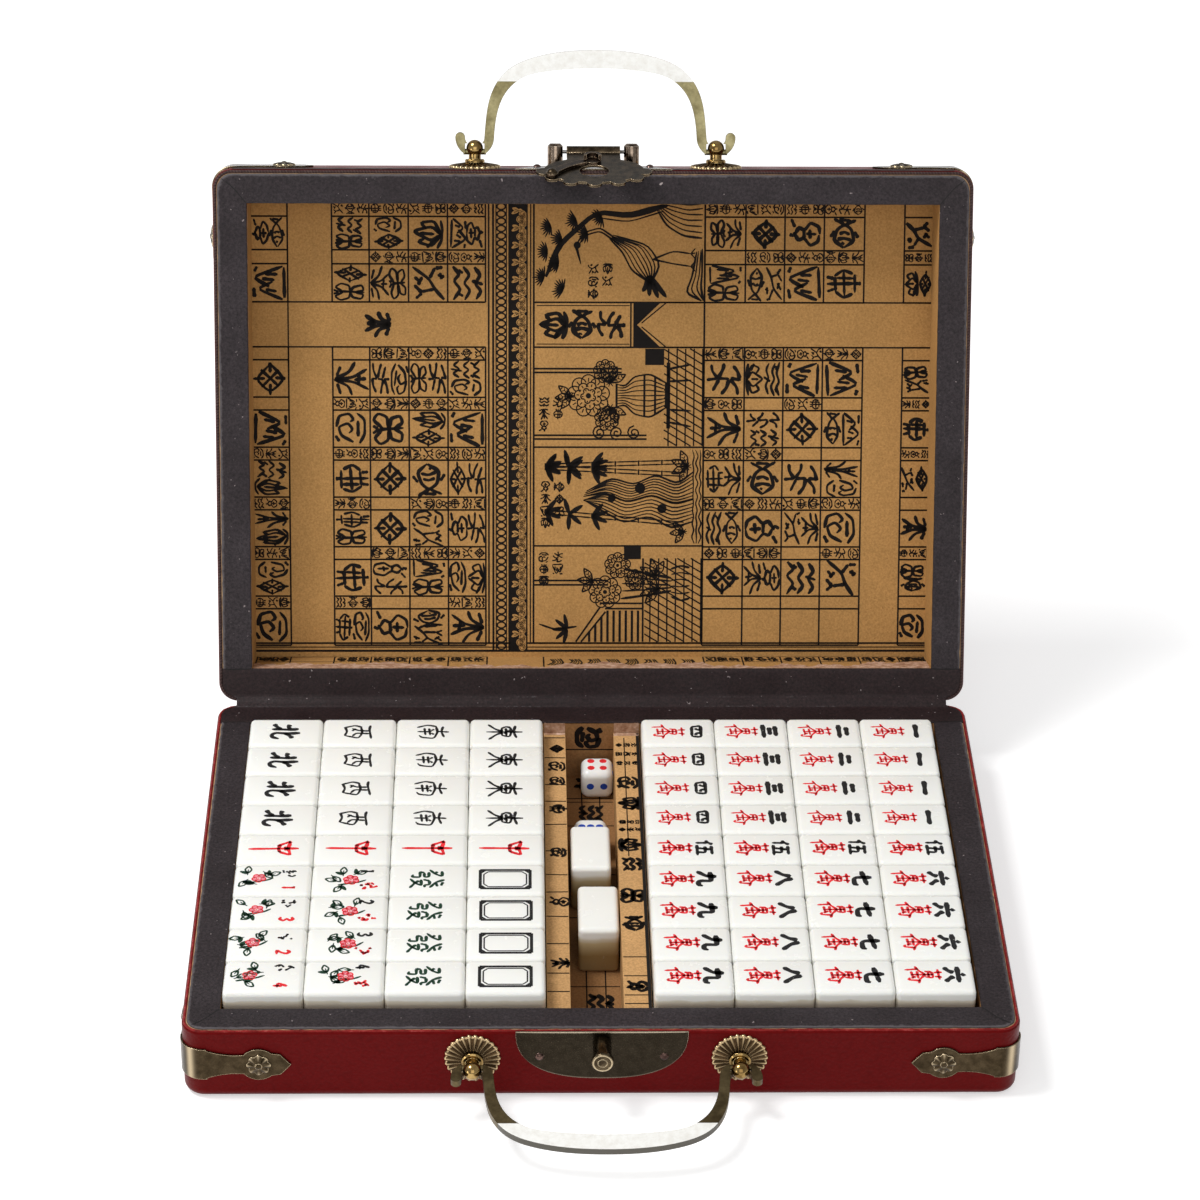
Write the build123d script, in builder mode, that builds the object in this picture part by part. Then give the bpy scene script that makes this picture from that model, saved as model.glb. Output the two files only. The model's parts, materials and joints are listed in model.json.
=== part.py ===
"""Antique-style mahjong case: a leather-covered hinged box with 144 tiles, two bail handles and a hasp.

Frame: millimetres, +X to the right, +Y to the hinge at the back, +Z up.  The origin is the centre
of the underside of the base.  The lid stands open, leaning back on its leather hinge strip.
"""

import math
import os

from build123d import *

os.makedirs("parts", exist_ok=True)

# ---------------------------------------------------------------- driving dimensions (mm, degrees)
# tiles
tile_length = 22.65
tile_width = 15.55
tile_thick = 12.0
tile_round = 1.5
tile_gap = 0.1
tile_columns = 4
tile_rows = 9
tile_layers = 2
tile_proud = 3.2

# the two compartments and the channel between them
left_clear = 0.4
right_clear = 1.1
divider_clear = 0.4
front_clear = 2.7
back_clear = 2.5
divider_left_width = 6.7
divider_right_width = 8.0
channel_width = 15.1
divider_drop = 4.0

# walls
board = 9.0
leather = 1.2
paper = 0.3
band = 0.5
floor_board = 1.2
head_room = 16.5
corner_radius = 6.0
bottom_round = 2.6
top_round = 0.7

# spare pieces in the channel
die_size = 10.0
die_round = 1.5
die_back_place = (1.35, 65.3)
die_front_place = (-1.2, 31.4)
blank_back_place = (-1.6, 13.0)
blank_front_place = (0.2, -18.0)

# lid hinge
open_angle = 111.4
closing_gap = 0.2
barrel_out = 0.45
barrel_radius = 0.95
barrel_room = 0.25
hinge_pin_radius = 0.5
hinge_length = 26.0
hinge_spread = 150.0
hinge_leaf_height = 11.0
leaf = 0.7
leaf_start = 1.3
centre_knuckle = 8.6
knuckle_gap = 0.2
hinge_screw_spread = 17.0

# bail handles
handle_spacing = 74.8
handle_inset = 9.3
base_handle_shift = 1.2
lid_handle_shift = 0.6
bail_pivot_height = 5.0
bail_thick = 2.2
bail_leg_width = 3.0
bail_hook_inner = 3.0
bail_height = 31.3
bail_inner_height = 25.8
bail_pin_radius = 0.9
base_bail_droop = 8.0
ball_radius = 2.6
ball_height = 6.1
collar_radius = 3.1
collar_height = 2.8
neck_radius = 1.9
rosette_radius = 8.0
rosette_flutes = 26
rosette_edge = 0.7
rosette_rise = 1.0

# latch
plate_width = 48.2
plate_height = 16.3
plate = 0.45
plate_drop = 0.2
plate_nail_spread = 35.0
plate_nail_inset = 8.8
stud_inset = 4.1
stud_radius = 2.6
stud_length = 9.5
stud_head_radius = 3.1
stud_head = 1.9
hasp_inset = 11.5
hasp_post_spread = 23.7
hasp_post_radius = 2.4
hasp_post_height = 7.5
hasp_pin_height = 4.9
hasp_pin_radius = 0.55
hasp_barrel_radius = 1.8
hasp_barrel_length = 16.6
hasp_droop = 19.4
flap = 0.8
flap_half_width = 15.5
flap_half_length = 9.5
flap_eye_radius = 4.5
flap_lobe_radius = 2.4
flap_shoulder = 4.6
lever = 0.9
lever_gap = 0.1
lever_pivot = (13.0, 19.6)
lever_tab = (0.4, 9.2)
lever_width = 2.6
lever_tab_radius = 2.7
lever_lip = 1.5
rivet_head_radius = 1.75
rivet_head_rise = 1.4
rivet_radius = 0.8
rivet_foot_radius = 1.3
rivet_foot = 0.4

# corner straps
strap = 0.6
strap_inset = 11.3
strap_corner_half = 5.2
strap_waist_half = 3.25
strap_waist_at = 14.0
strap_boss_at = 21.5
strap_boss_radius = 5.3
strap_spade_half = 3.9
strap_tip_at = 30.6
strap_nail_radius = 3.6
strap_nail_rise = 1.3

# shanks of the fasteners
post_shank_radius = 1.2
stud_shank_radius = 1.5
nail_radius = 0.5
nail_head_radius = 1.3
nail_head_rise = 0.8
screw_radius = 0.6
shank_depth = 7.0
fit = 0.05

# ---------------------------------------------------------------- worked-out sizes
wall = leather + board + paper
floor = leather + floor_board + paper
block_width = tile_columns * tile_length + (tile_columns - 1) * tile_gap
block_depth = tile_rows * tile_width + (tile_rows - 1) * tile_gap
middle_width = divider_clear * 2 + divider_left_width + channel_width + divider_right_width
inner_width = left_clear + right_clear + 2 * block_width + middle_width
inner_depth = front_clear + block_depth + back_clear
case_width = inner_width + 2 * wall
case_depth = inner_depth + 2 * wall
base_height = floor + tile_layers * tile_thick - tile_proud
lid_height = floor + head_room + tile_proud
left_block_x = -inner_width / 2 + left_clear
divider_left_x = left_block_x + block_width + divider_clear
divider_right_x = divider_left_x + divider_left_width + channel_width
right_block_x = divider_right_x + divider_right_width + divider_clear
block_y = -inner_depth / 2 + front_clear
hook_radius = bail_hook_inner + bail_leg_width / 2
plate_arc = (plate_width**2 / 4 + plate_height**2) / (2 * plate_height)

# ---------------------------------------------------------------- frames of the two halves
# Each half has a rim plane: its z leaves the rim, its y points at the hinge.
turn = math.radians(open_angle)
lid_along = Vector(0, -math.cos(turn), math.sin(turn))
lid_out = Vector(0, -math.sin(turn), -math.cos(turn))
hinge_axis_at = Vector(0, case_depth / 2 + barrel_out, base_height + closing_gap / 2)
lid_centre = hinge_axis_at + lid_along * (case_depth / 2 + barrel_out) - lid_out * (closing_gap / 2)

base_rim = Plane(origin=(0, 0, base_height), x_dir=(1, 0, 0), z_dir=(0, 0, 1))
lid_rim = Plane(origin=lid_centre, x_dir=(-1, 0, 0), z_dir=lid_out)


def front_of(rim):
    """Plane on the free-edge face: z leaves the face, y points at the rim, which is at y = 0."""
    return Plane(origin=rim.origin - rim.y_dir * (case_depth / 2), x_dir=rim.x_dir, z_dir=-rim.y_dir)


def back_of(rim):
    """Plane on the hinge-side face, with y = 0 at the rim."""
    return Plane(origin=rim.origin + rim.y_dir * (case_depth / 2), x_dir=-rim.x_dir, z_dir=rim.y_dir)


def side_of(rim, side):
    """Plane on the side face at -x (side -1) or +x (side +1), with y = 0 at the rim."""
    origin = rim.origin + rim.x_dir * (side * case_width / 2)
    return Plane(origin=origin, x_dir=rim.y_dir * side, z_dir=rim.x_dir * side)


def on(plane, points):
    """Places on a plane, for pieces that stand on it."""
    return [plane.location * Location((x, y, 0)) for x, y in points]


def save(name, piece):
    """Labels a finished piece and writes its STEP file."""
    piece.part.label = name
    export_step(piece.part, f"parts/{name}.step")


# ---------------------------------------------------------------- where the hardware sits
def handle_spots(shift):
    return [(shift + side * handle_spacing / 2, -handle_inset) for side in (-1, 1)]


plate_nail_spots = [(side * plate_nail_spread / 2, -plate_nail_inset) for side in (-1, 1)]
hasp_post_spots = [(side * hasp_post_spread / 2, -hasp_inset) for side in (-1, 1)]
stud_spot = [(0, -stud_inset)]
strap_front_spots = [(side * (case_width / 2 - strap_boss_at), -strap_inset) for side in (-1, 1)]
hinge_spots = [(side * hinge_spread / 2, 0) for side in (-1, 1)]
hinge_screw_spots = [
    (x + side * hinge_screw_spread / 2, -(leaf_start + hinge_leaf_height / 2))
    for x, _ in hinge_spots
    for side in (-1, 1)
]


def strap_side_spot(side):
    """The strap's nail on a side face; the free edge is at -x on the +1 side and at +x on the other."""
    return [(-side * (case_depth / 2 - strap_boss_at), -strap_inset)]


def barrel_line(back, x):
    """Place of a hinge barrel that is centred at x on a half's back face, lying along X."""
    return back.location * Location((x, closing_gap / 2, barrel_out)) * Rotation(0, 90, 0)


def drill(plane, points, radius, depth=shank_depth):
    """Cuts round holes into the open part, from the face inwards."""
    with BuildSketch(plane) as holes:
        with Locations(*points):
            Circle(radius + fit)
    extrude(holes.sketch, amount=-depth, mode=Mode.SUBTRACT)


def drill_half(rim, handle_shift, latch_spots, latch_radius):
    """Holes for every shank that enters a half: handles, latch, plate nails, straps and hinges."""
    front = front_of(rim)
    drill(front, handle_spots(handle_shift), post_shank_radius)
    drill(front, latch_spots, latch_radius)
    drill(front, plate_nail_spots, nail_radius)
    drill(front, strap_front_spots, nail_radius)
    for side in (-1, 1):
        drill(side_of(rim, side), strap_side_spot(side), nail_radius)
    drill(back_of(rim), hinge_screw_spots, screw_radius)


# ---------------------------------------------------------------- leather-covered boxes
def rounded_block(rim, height, inset, edge):
    """The half's outer form, set in by `inset`, with its corners and far edges rounded."""
    with BuildPart() as block:
        with BuildSketch(rim.offset(-band)):
            RectangleRounded(case_width - 2 * inset, case_depth - 2 * inset, corner_radius - inset)
        extrude(amount=-(height - band - inset))
        far_face = block.faces().sort_by(Axis(rim.origin, rim.z_dir))[0]
        fillet(far_face.edges(), edge)
    return block.part


def make_board(name, rim, height, drilling):
    """Wooden tray or lid carcass."""
    with BuildPart() as carcass:
        add(rounded_block(rim, height, leather, bottom_round - leather))
        with BuildSketch(rim):
            Rectangle(inner_width + 2 * paper, inner_depth + 2 * paper)
        extrude(amount=-(height - leather - floor_board), mode=Mode.SUBTRACT)
        drill_half(rim, *drilling)
    save(name, carcass)


def make_side_leather(name, rim, height, drilling):
    """Red leather wrapped round the four sides, grooved where the hinge barrels lie."""
    with BuildPart() as cover:
        add(rounded_block(rim, height, 0, bottom_round))
        near_face = cover.faces().sort_by(Axis(rim.origin, rim.z_dir))[-1]
        fillet(near_face.edges(), top_round)
        add(rounded_block(rim, height, leather, bottom_round - leather), mode=Mode.SUBTRACT)
        split(bisect_by=rim.offset(-(height - leather)), keep=Keep.TOP)
        drill_half(rim, *drilling)
        with Locations(*[barrel_line(back_of(rim), x) for x, _ in hinge_spots]):
            Cylinder(barrel_radius + barrel_room, hinge_length + 2 * barrel_room, mode=Mode.SUBTRACT)
    save(name, cover)


def make_flat_leather(name, rim, height):
    """Red leather sheet on the far face: the underside of the base or the top of the lid."""
    with BuildPart() as cover:
        add(rounded_block(rim, height, 0, bottom_round))
        split(bisect_by=rim.offset(-(height - leather)), keep=Keep.BOTTOM)
    save(name, cover)


def make_band(name, rim, outline):
    """One strip of the dark leather edging on the rim, cut to an outline."""
    with BuildPart() as strip:
        with BuildSketch(rim.offset(-band)):
            RectangleRounded(
                case_width - 2 * leather, case_depth - 2 * leather, corner_radius - leather
            )
            Rectangle(inner_width, inner_depth, mode=Mode.SUBTRACT)
            with BuildLine():
                Polyline(*outline, close=True)
            make_face(mode=Mode.INTERSECT)
        extrude(amount=band)
    save(name, strip)


def make_bands(half, rim, sides):
    """Front, left and right strips mitred at the front, and the hinge strip across the back."""
    x0, y0 = inner_width / 2, inner_depth / 2
    x1, y1 = case_width / 2, case_depth / 2
    reach = x1 - x0
    make_band(f"{half}_band_front", rim, [(-x0, -y0), (x0, -y0), (x0 + reach, -y1), (-x0 - reach, -y1)])
    for side, word in sides:
        outline = [(side * x0, -y0), (side * x1, -y0 - reach), (side * x1, y0), (side * x0, y0)]
        make_band(f"{half}_band_{word}", rim, outline)
    make_band(f"hinge_strip_{half}", rim, [(-x1, y0), (x1, y0), (x1, y1), (-x1, y1)])


def make_lining(name, rim, height):
    """Printed paper glued to the inside walls and the flat."""
    with BuildPart() as lining:
        with BuildSketch(rim.offset(-band)):
            Rectangle(inner_width + 2 * paper, inner_depth + 2 * paper)
        extrude(amount=-(height - band - leather - floor_board))
        with BuildSketch(rim):
            Rectangle(inner_width, inner_depth)
        extrude(amount=-(height - floor), mode=Mode.SUBTRACT)
    save(name, lining)


# name, rim plane, height, hardware holes, which of the frame's sides is left and right
halves = [
    ("base", base_rim, base_height, (base_handle_shift, stud_spot, stud_shank_radius),
     ((-1, "left"), (1, "right"))),
    ("lid", lid_rim, lid_height, (-lid_handle_shift, hasp_post_spots, post_shank_radius),
     ((1, "left"), (-1, "right"))),
]
for half, rim, height, drilling, sides in halves:
    make_board(f"{half}_board", rim, height, drilling)
    make_side_leather(f"{half}_side_leather", rim, height, drilling)
    make_flat_leather(f"{half}_flat_leather", rim, height)
    make_bands(half, rim, sides)
    make_lining(f"{half}_lining", rim, height)


# ---------------------------------------------------------------- dividers of the middle channel
def make_divider(name, x, width):
    """A paper-covered wooden wall standing on the lining."""
    with BuildPart() as wall_piece:
        with BuildSketch(Plane.XY.offset(floor)):
            with Locations((x + width / 2, 0)):
                Rectangle(width, inner_depth)
        extrude(amount=base_height - floor - divider_drop)
    save(name, wall_piece)


make_divider("divider_left", divider_left_x, divider_left_width)
make_divider("divider_right", divider_right_x, divider_right_width)


# ---------------------------------------------------------------- tiles, blanks and dice
def tile(size):
    """One tile with rounded edges, standing on the origin."""
    with BuildPart() as one:
        Box(*size, align=(Align.CENTER, Align.CENTER, Align.MIN))
        fillet(one.edges(), tile_round)
    return one.part


def make_tiles(name, columns, layer):
    """Columns of nine tiles on one layer; each column is given by its centre in X."""
    flat_tile = tile((tile_length, tile_width, tile_thick))
    height = floor + layer * tile_thick
    with BuildPart() as group:
        for x in columns:
            for row in range(tile_rows):
                y = block_y + (row + 0.5) * tile_width + row * tile_gap
                with Locations((x, y, height)):
                    add(flat_tile)
    save(name, group)


def column_centres(block_x):
    return [block_x + (i + 0.5) * tile_length + i * tile_gap for i in range(tile_columns)]


for word, block_x in (("left", left_block_x), ("right", right_block_x)):
    make_tiles(f"lower_tiles_{word}", column_centres(block_x), 0)
    for number, x in enumerate(column_centres(block_x), start=1):
        make_tiles(f"tile_column_{word}_{number}", [x], tile_layers - 1)

for name, place in (("blank_tile_back", blank_back_place), ("blank_tile_front", blank_front_place)):
    with BuildPart() as blank:
        with Locations((place[0], place[1], floor)):
            add(tile((tile_thick, tile_length, tile_width)))
    save(name, blank)

for name, place in (("die_back", die_back_place), ("die_front", die_front_place)):
    with BuildPart() as die:
        with Locations((place[0], place[1], floor)):
            Box(die_size, die_size, die_size, align=(Align.CENTER, Align.CENTER, Align.MIN))
        fillet(die.edges(), die_round)
    save(name, die)


# ---------------------------------------------------------------- turned pieces
def turned(*profile):
    """A solid of revolution about Z, from the (radius, height) points of its outline."""
    with BuildPart() as one:
        with BuildSketch(Plane.XZ):
            with BuildLine():
                Polyline(*profile, close=True)
            make_face()
        revolve(axis=Axis.Z)
    return one.part


def domed(foot, shank, seat, head_radius, head_rise, foot_radius=0.0, foot_rise=0.0):
    """A shank from `foot` up to a domed head that sits at `seat`, with an optional flat foot."""
    sphere = (head_radius**2 + head_rise**2) / (2 * head_rise)
    half = math.asin(head_radius / sphere) / 2
    middle = (sphere * math.sin(half), seat + head_rise - sphere * (1 - math.cos(half)))
    with BuildPart() as one:
        with BuildSketch(Plane.XZ):
            with BuildLine():
                if foot_rise:
                    Polyline((0, foot), (foot_radius, foot), (foot_radius, foot + foot_rise),
                             (shank, foot + foot_rise), (shank, seat), (head_radius, seat))
                else:
                    Polyline((0, foot), (shank, foot), (shank, seat), (head_radius, seat))
                ThreePointArc((head_radius, seat), middle, (0, seat + head_rise))
                Line((0, seat + head_rise), (0, foot))
            make_face()
        revolve(axis=Axis.Z)
    return one.part


def nail(head_radius, head_rise, shank, seat):
    """A domed nail; `seat` is the thickness of the plate that it passes through."""
    return domed(1 - shank_depth, shank, seat, head_radius, head_rise)


def make_nails(name, placements, one):
    """Copies of one fastener, as separate solids."""
    with BuildPart() as group:
        with Locations(*placements):
            add(one)
    save(name, group)


# ---------------------------------------------------------------- bail handles
def make_rosettes(name, front, spots):
    """Fluted round back plates under the handle posts."""
    with BuildPart() as plates:
        with BuildSketch(front) as discs:
            with Locations(*spots):
                Circle(rosette_radius - rosette_edge)
                with PolarLocations(rosette_radius - rosette_edge, rosette_flutes):
                    Circle(rosette_edge)
        extrude(amount=rosette_edge)
        dome = turned((0, 0), (rosette_radius - 1.5, 0), (rosette_radius - 1.5, rosette_edge),
                      (collar_radius + 0.3, rosette_edge + rosette_rise), (0, rosette_edge + rosette_rise))
        with Locations(*on(front, spots)):
            add(dome)
            Cylinder(post_shank_radius + fit, 10, mode=Mode.SUBTRACT)
    save(name, plates)


def make_posts(name, front, spots):
    """Ball-headed posts with a collar, a cross hole for the bail and a shank in the wall."""
    seat = rosette_edge + rosette_rise
    post = turned((0, -shank_depth + 1), (post_shank_radius, -shank_depth + 1), (post_shank_radius, seat),
                  (collar_radius, seat), (collar_radius, collar_height - 0.4),
                  (collar_radius - 0.4, collar_height), (neck_radius, collar_height),
                  (neck_radius, ball_height), (0, ball_height))
    with BuildPart() as posts:
        with Locations(*on(front, spots)):
            add(post)
        with Locations(*[place * Location((0, 0, ball_height)) for place in on(front, spots)]):
            Sphere(ball_radius)
        cross = Rotation(0, 90, 0)
        with Locations(*[place * Location((0, 0, bail_pivot_height)) * cross for place in on(front, spots)]):
            Cylinder(bail_pin_radius + fit, 4 * ball_radius, mode=Mode.SUBTRACT)
    save(name, posts)


def make_bail(name, middle):
    """The bail on its pivot plane: z across its thickness, y along its height."""
    half = handle_spacing / 2
    gap = ball_radius + 0.4
    with BuildPart() as bail:
        with BuildSketch(middle.offset(-bail_thick / 2)) as arch:
            with BuildLine():
                outer = [(-half + 3.0, hook_radius), (-half + 3.5, 10.2), (-half + 5.2, 18.0),
                         (-half + 9.6, 24.6), (-half + 19.0, bail_height - 2.1)]
                Spline(*outer, (0, bail_height), *[(-x, y) for x, y in reversed(outer)])
                inner = [(-half + 6.0, hook_radius), (-half + 6.7, 10.6), (-half + 9.2, 17.6),
                         (-half + 14.1, 22.4), (-half + 23.3, bail_inner_height - 0.9)]
                Spline(*inner, (0, bail_inner_height), *[(-x, y) for x, y in reversed(inner)])
                Line((-half + 3.0, hook_radius), (-half + 6.0, hook_radius))
                Line((half - 3.0, hook_radius), (half - 6.0, hook_radius))
            make_face()
        extrude(amount=bail_thick)
        with BuildSketch(middle.offset(-bail_thick / 2)) as hooks:
            for side in (-1, 1):
                with Locations((side * half, hook_radius)):
                    Circle(hook_radius + bail_leg_width / 2)
                    Circle(bail_hook_inner, mode=Mode.SUBTRACT)
                    with Locations((0, hook_radius)):
                        Rectangle(4 * hook_radius, 2 * hook_radius, mode=Mode.SUBTRACT)
                with Locations((side * (half + hook_radius), hook_radius)):
                    Circle(bail_leg_width / 2)
                with Locations((side * half, 0)):
                    Rectangle(2 * gap, 2 * ball_radius, mode=Mode.SUBTRACT)
        extrude(amount=bail_thick)
        cross = Rotation(0, 90, 0)
        with Locations(*[middle.location * Location((side * half, 0, 0)) * cross for side in (-1, 1)]):
            Cylinder(bail_pin_radius, 2 * gap + 1.0)
    save(name, bail)


base_front = front_of(base_rim)
lid_front = front_of(lid_rim)
handles = [
    ("base", base_front, base_handle_shift, base_bail_droop),
    ("lid", lid_front, -lid_handle_shift, 0.0),
]
for half, front, shift, droop in handles:
    spots = handle_spots(shift)
    make_rosettes(f"{half}_rosettes", front, spots)
    make_posts(f"{half}_handle_posts", front, spots)
    pivot = front.location * Location((shift, -handle_inset, bail_pivot_height)) * Rotation(90 + droop, 0, 0)
    make_bail(f"{half}_bail", Plane(pivot))


# ---------------------------------------------------------------- latch plates, stud and hasp
def make_plate(name, front, spots, radius):
    """Half-moon plate with its straight edge at the rim."""
    with BuildPart() as half_moon:
        with BuildSketch(front):
            with Locations((0, plate_arc - plate_height - plate_drop)):
                Circle(plate_arc)
            with Locations((0, plate_arc - plate_drop)):
                Rectangle(4 * plate_arc, 2 * plate_arc, mode=Mode.SUBTRACT)
            with Locations(*spots):
                Circle(radius + fit, mode=Mode.SUBTRACT)
            with Locations(*plate_nail_spots):
                Circle(nail_radius + fit, mode=Mode.SUBTRACT)
        extrude(amount=plate)
    save(name, half_moon)


make_plate("base_latch_plate", base_front, stud_spot, stud_shank_radius)
make_plate("lid_latch_plate", lid_front, hasp_post_spots, post_shank_radius)
plate_nail = nail(nail_head_radius, nail_head_rise, nail_radius, plate)
make_nails("base_plate_nails", on(base_front, plate_nail_spots), plate_nail)
make_nails("lid_plate_nails", on(lid_front, plate_nail_spots), plate_nail)

stud_profile = turned(
    (0, -shank_depth + 1), (stud_shank_radius, -shank_depth + 1), (stud_shank_radius, plate),
    (stud_radius, plate), (stud_radius, stud_length - stud_head),
    (stud_head_radius, stud_length - stud_head + 0.5), (stud_head_radius, stud_length - 0.3),
    (stud_head_radius - 0.3, stud_length), (0, stud_length))
make_nails("latch_stud", on(base_front, stud_spot), stud_profile)

with BuildPart() as hasp_posts:
    post_outline = turned(
        (0, -shank_depth + 1), (post_shank_radius, -shank_depth + 1), (post_shank_radius, plate),
        (hasp_post_radius, plate), (hasp_post_radius, hasp_post_height - 0.8),
        (hasp_post_radius - 0.8, hasp_post_height), (0, hasp_post_height))
    with Locations(*on(lid_front, hasp_post_spots)):
        add(post_outline)
    pin_line = lid_front.location * Location((0, -hasp_inset, hasp_pin_height)) * Rotation(0, 90, 0)
    with Locations(pin_line):
        Cylinder(hasp_pin_radius + fit, hasp_post_spread + hasp_post_radius, mode=Mode.SUBTRACT)
save("hasp_posts", hasp_posts)

with BuildPart() as hasp_pin:
    with Locations(pin_line):
        Cylinder(hasp_pin_radius, hasp_post_spread + hasp_post_radius - 0.2)
save("hasp_pin", hasp_pin)

# The flap's own plane holds the pin axis: y runs down the flap, z leaves its outer face.
flap_pivot = lid_front.location * Location((0, -hasp_inset, hasp_pin_height))
hasp_frame = Plane(flap_pivot * Rotation(-hasp_droop, 0, 0))
eye_at = hasp_inset + stud_inset + closing_gap
flap_centre_at = eye_at - 0.8

with BuildPart() as hasp_flap:
    with BuildSketch(hasp_frame.offset(-flap / 2)):
        with Locations((0, flap_centre_at)):
            Ellipse(flap_half_width, flap_half_length)
            with Locations(*[(flap_half_width * math.cos(math.radians(a)),
                              flap_half_length * math.sin(math.radians(a))) for a in range(6, 180, 28)]):
                Circle(flap_lobe_radius)
        with Locations((0, 0)):
            Rectangle(2 * flap_half_width + 10, 2 * flap_shoulder, mode=Mode.SUBTRACT)
        with Locations((0, flap_shoulder)):
            Rectangle(hasp_barrel_length, 2 * flap_shoulder)
        with Locations((0, eye_at)):
            Circle(flap_eye_radius, mode=Mode.SUBTRACT)
        with Locations(lever_pivot):
            Circle(rivet_radius, mode=Mode.SUBTRACT)
    extrude(amount=flap)
    with Locations(hasp_frame.location * Rotation(0, 90, 0)):
        Cylinder(hasp_barrel_radius, hasp_barrel_length)
        Cylinder(hasp_pin_radius + fit, hasp_barrel_length + 2, mode=Mode.SUBTRACT)
save("hasp_flap", hasp_flap)

with BuildPart() as swing_lever:
    with BuildSketch(hasp_frame.offset(flap / 2 + lever_gap)):
        with Locations(lever_pivot):
            Circle(lever_width / 2 + 0.6)
        with Locations(lever_tab):
            Circle(lever_tab_radius)
        with BuildLine() as arm:
            ThreePointArc(lever_pivot, (lever_pivot[0] * 0.55, (lever_pivot[1] + lever_tab[1]) / 2 - 1.6),
                          lever_tab)
        trace(arm.line, lever_width)
        with Locations(lever_pivot):
            Circle(rivet_radius + fit, mode=Mode.SUBTRACT)
    extrude(amount=lever)
    with BuildSketch(hasp_frame.offset(flap / 2 + lever_gap + lever)):
        with Locations(lever_tab):
            Circle(lever_tab_radius)
            Circle(lever_tab_radius - 0.9, mode=Mode.SUBTRACT)
            with Locations((0, lever_tab_radius)):
                Rectangle(2 * lever_tab_radius, 2 * lever_tab_radius, mode=Mode.SUBTRACT)
    extrude(amount=lever_lip)
save("swing_lever", swing_lever)

rivet_top = flap / 2 + lever_gap + lever + fit
rivet = domed(-flap / 2 - rivet_foot, rivet_radius, rivet_top, rivet_head_radius, rivet_head_rise,
              rivet_foot_radius, rivet_foot)
make_nails("lever_rivet", [hasp_frame.location * Location((*lever_pivot, 0))], rivet)



# ---------------------------------------------------------------- corner straps
def strap_outline(plane, corner_x, way):
    """Strap from the corner to its spade tip; `way` is +1 where the strap runs towards +x."""
    at = lambda s, y: (corner_x + way * s, y - strap_inset)
    with BuildSketch(plane) as outline:
        with BuildLine():
            Line(at(-2, -strap_corner_half), at(-2, strap_corner_half))
            Line(at(-2, strap_corner_half), at(corner_radius, strap_corner_half))
            Spline(at(corner_radius, strap_corner_half), at(strap_waist_at, strap_waist_half),
                   at(strap_boss_at, strap_waist_half + 0.8))
            Line(at(strap_boss_at, strap_waist_half + 0.8), at(strap_boss_at, -strap_waist_half - 0.8))
            Spline(at(strap_boss_at, -strap_waist_half - 0.8), at(strap_waist_at, -strap_waist_half),
                   at(corner_radius, -strap_corner_half))
            Line(at(corner_radius, -strap_corner_half), at(-2, -strap_corner_half))
        make_face()
        with BuildLine():
            shoulder = strap_tip_at - 3.0
            Polyline(at(strap_boss_at, 0), at(strap_boss_at + 3.2, strap_spade_half),
                     at(shoulder, strap_spade_half - 0.4), at(strap_tip_at, 0),
                     at(shoulder, 0.4 - strap_spade_half), at(strap_boss_at + 3.2, -strap_spade_half),
                     close=True)
        make_face()
        with Locations(at(strap_boss_at, 0)):
            Circle(strap_boss_radius)
            Circle(nail_radius + fit, mode=Mode.SUBTRACT)
    return outline.sketch


def strap_mask(rim, side):
    """The strap's outline pushed through the corner from the front and from the side."""
    depth = -(corner_radius + strap + 1)
    front = front_of(rim).offset(strap + 1)
    flank = side_of(rim, side).offset(strap + 1)
    with BuildPart() as mask:
        extrude(strap_outline(front, side * case_width / 2, -side), amount=depth - 1)
        extrude(strap_outline(flank, -side * case_depth / 2, side), amount=depth - 1)
    return mask.part


def make_strap(name, rim, side):
    """Sheet-metal strap bent round a front corner."""
    with BuildPart() as piece:
        with BuildSketch(rim.offset(-strap_inset - strap_boss_radius - 1)):
            RectangleRounded(case_width + 2 * strap, case_depth + 2 * strap, corner_radius + strap)
            RectangleRounded(case_width, case_depth, corner_radius, mode=Mode.SUBTRACT)
        extrude(amount=2 * strap_boss_radius + 2)
        add(strap_mask(rim, side), mode=Mode.INTERSECT)
    save(name, piece)


strap_nail = nail(strap_nail_radius, strap_nail_rise, nail_radius, strap)
for half, rim, height, drilling, sides in halves:
    places = on(front_of(rim), strap_front_spots)
    for side, word in sides:
        make_strap(f"{half}_strap_{word}", rim, side)
        places += on(side_of(rim, side), strap_side_spot(side))
    make_nails(f"{half}_strap_nails", places, strap_nail)


# ---------------------------------------------------------------- butt hinges on the back
def make_leaves(name, back, knuckles):
    """Two hinge leaves with their knuckles; each knuckle is a (centre, length) along the pin."""
    with BuildPart() as leaves:
        with BuildSketch(back):
            with Locations(*hinge_spots):
                with Locations((0, -(leaf_start + hinge_leaf_height / 2))):
                    Rectangle(hinge_length, hinge_leaf_height)
                for centre, length in knuckles:
                    with Locations((centre, -(leaf_start + 1) / 2)):
                        Rectangle(length, leaf_start + 1)
            with Locations(*hinge_screw_spots):
                Circle(screw_radius + fit, mode=Mode.SUBTRACT)
        extrude(amount=leaf)
        for x, _ in hinge_spots:
            for centre, length in knuckles:
                with Locations(barrel_line(back, x + centre)):
                    Cylinder(barrel_radius, length)
                    Cylinder(hinge_pin_radius + fit, length + 2, mode=Mode.SUBTRACT)
    save(name, leaves)


outer_knuckle = (hinge_length - centre_knuckle) / 2 - knuckle_gap
outer_at = (hinge_length - outer_knuckle) / 2
make_leaves("hinge_leaves_base", back_of(base_rim), [(-outer_at, outer_knuckle), (outer_at, outer_knuckle)])
make_leaves("hinge_leaves_lid", back_of(lid_rim), [(0, centre_knuckle)])

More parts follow.
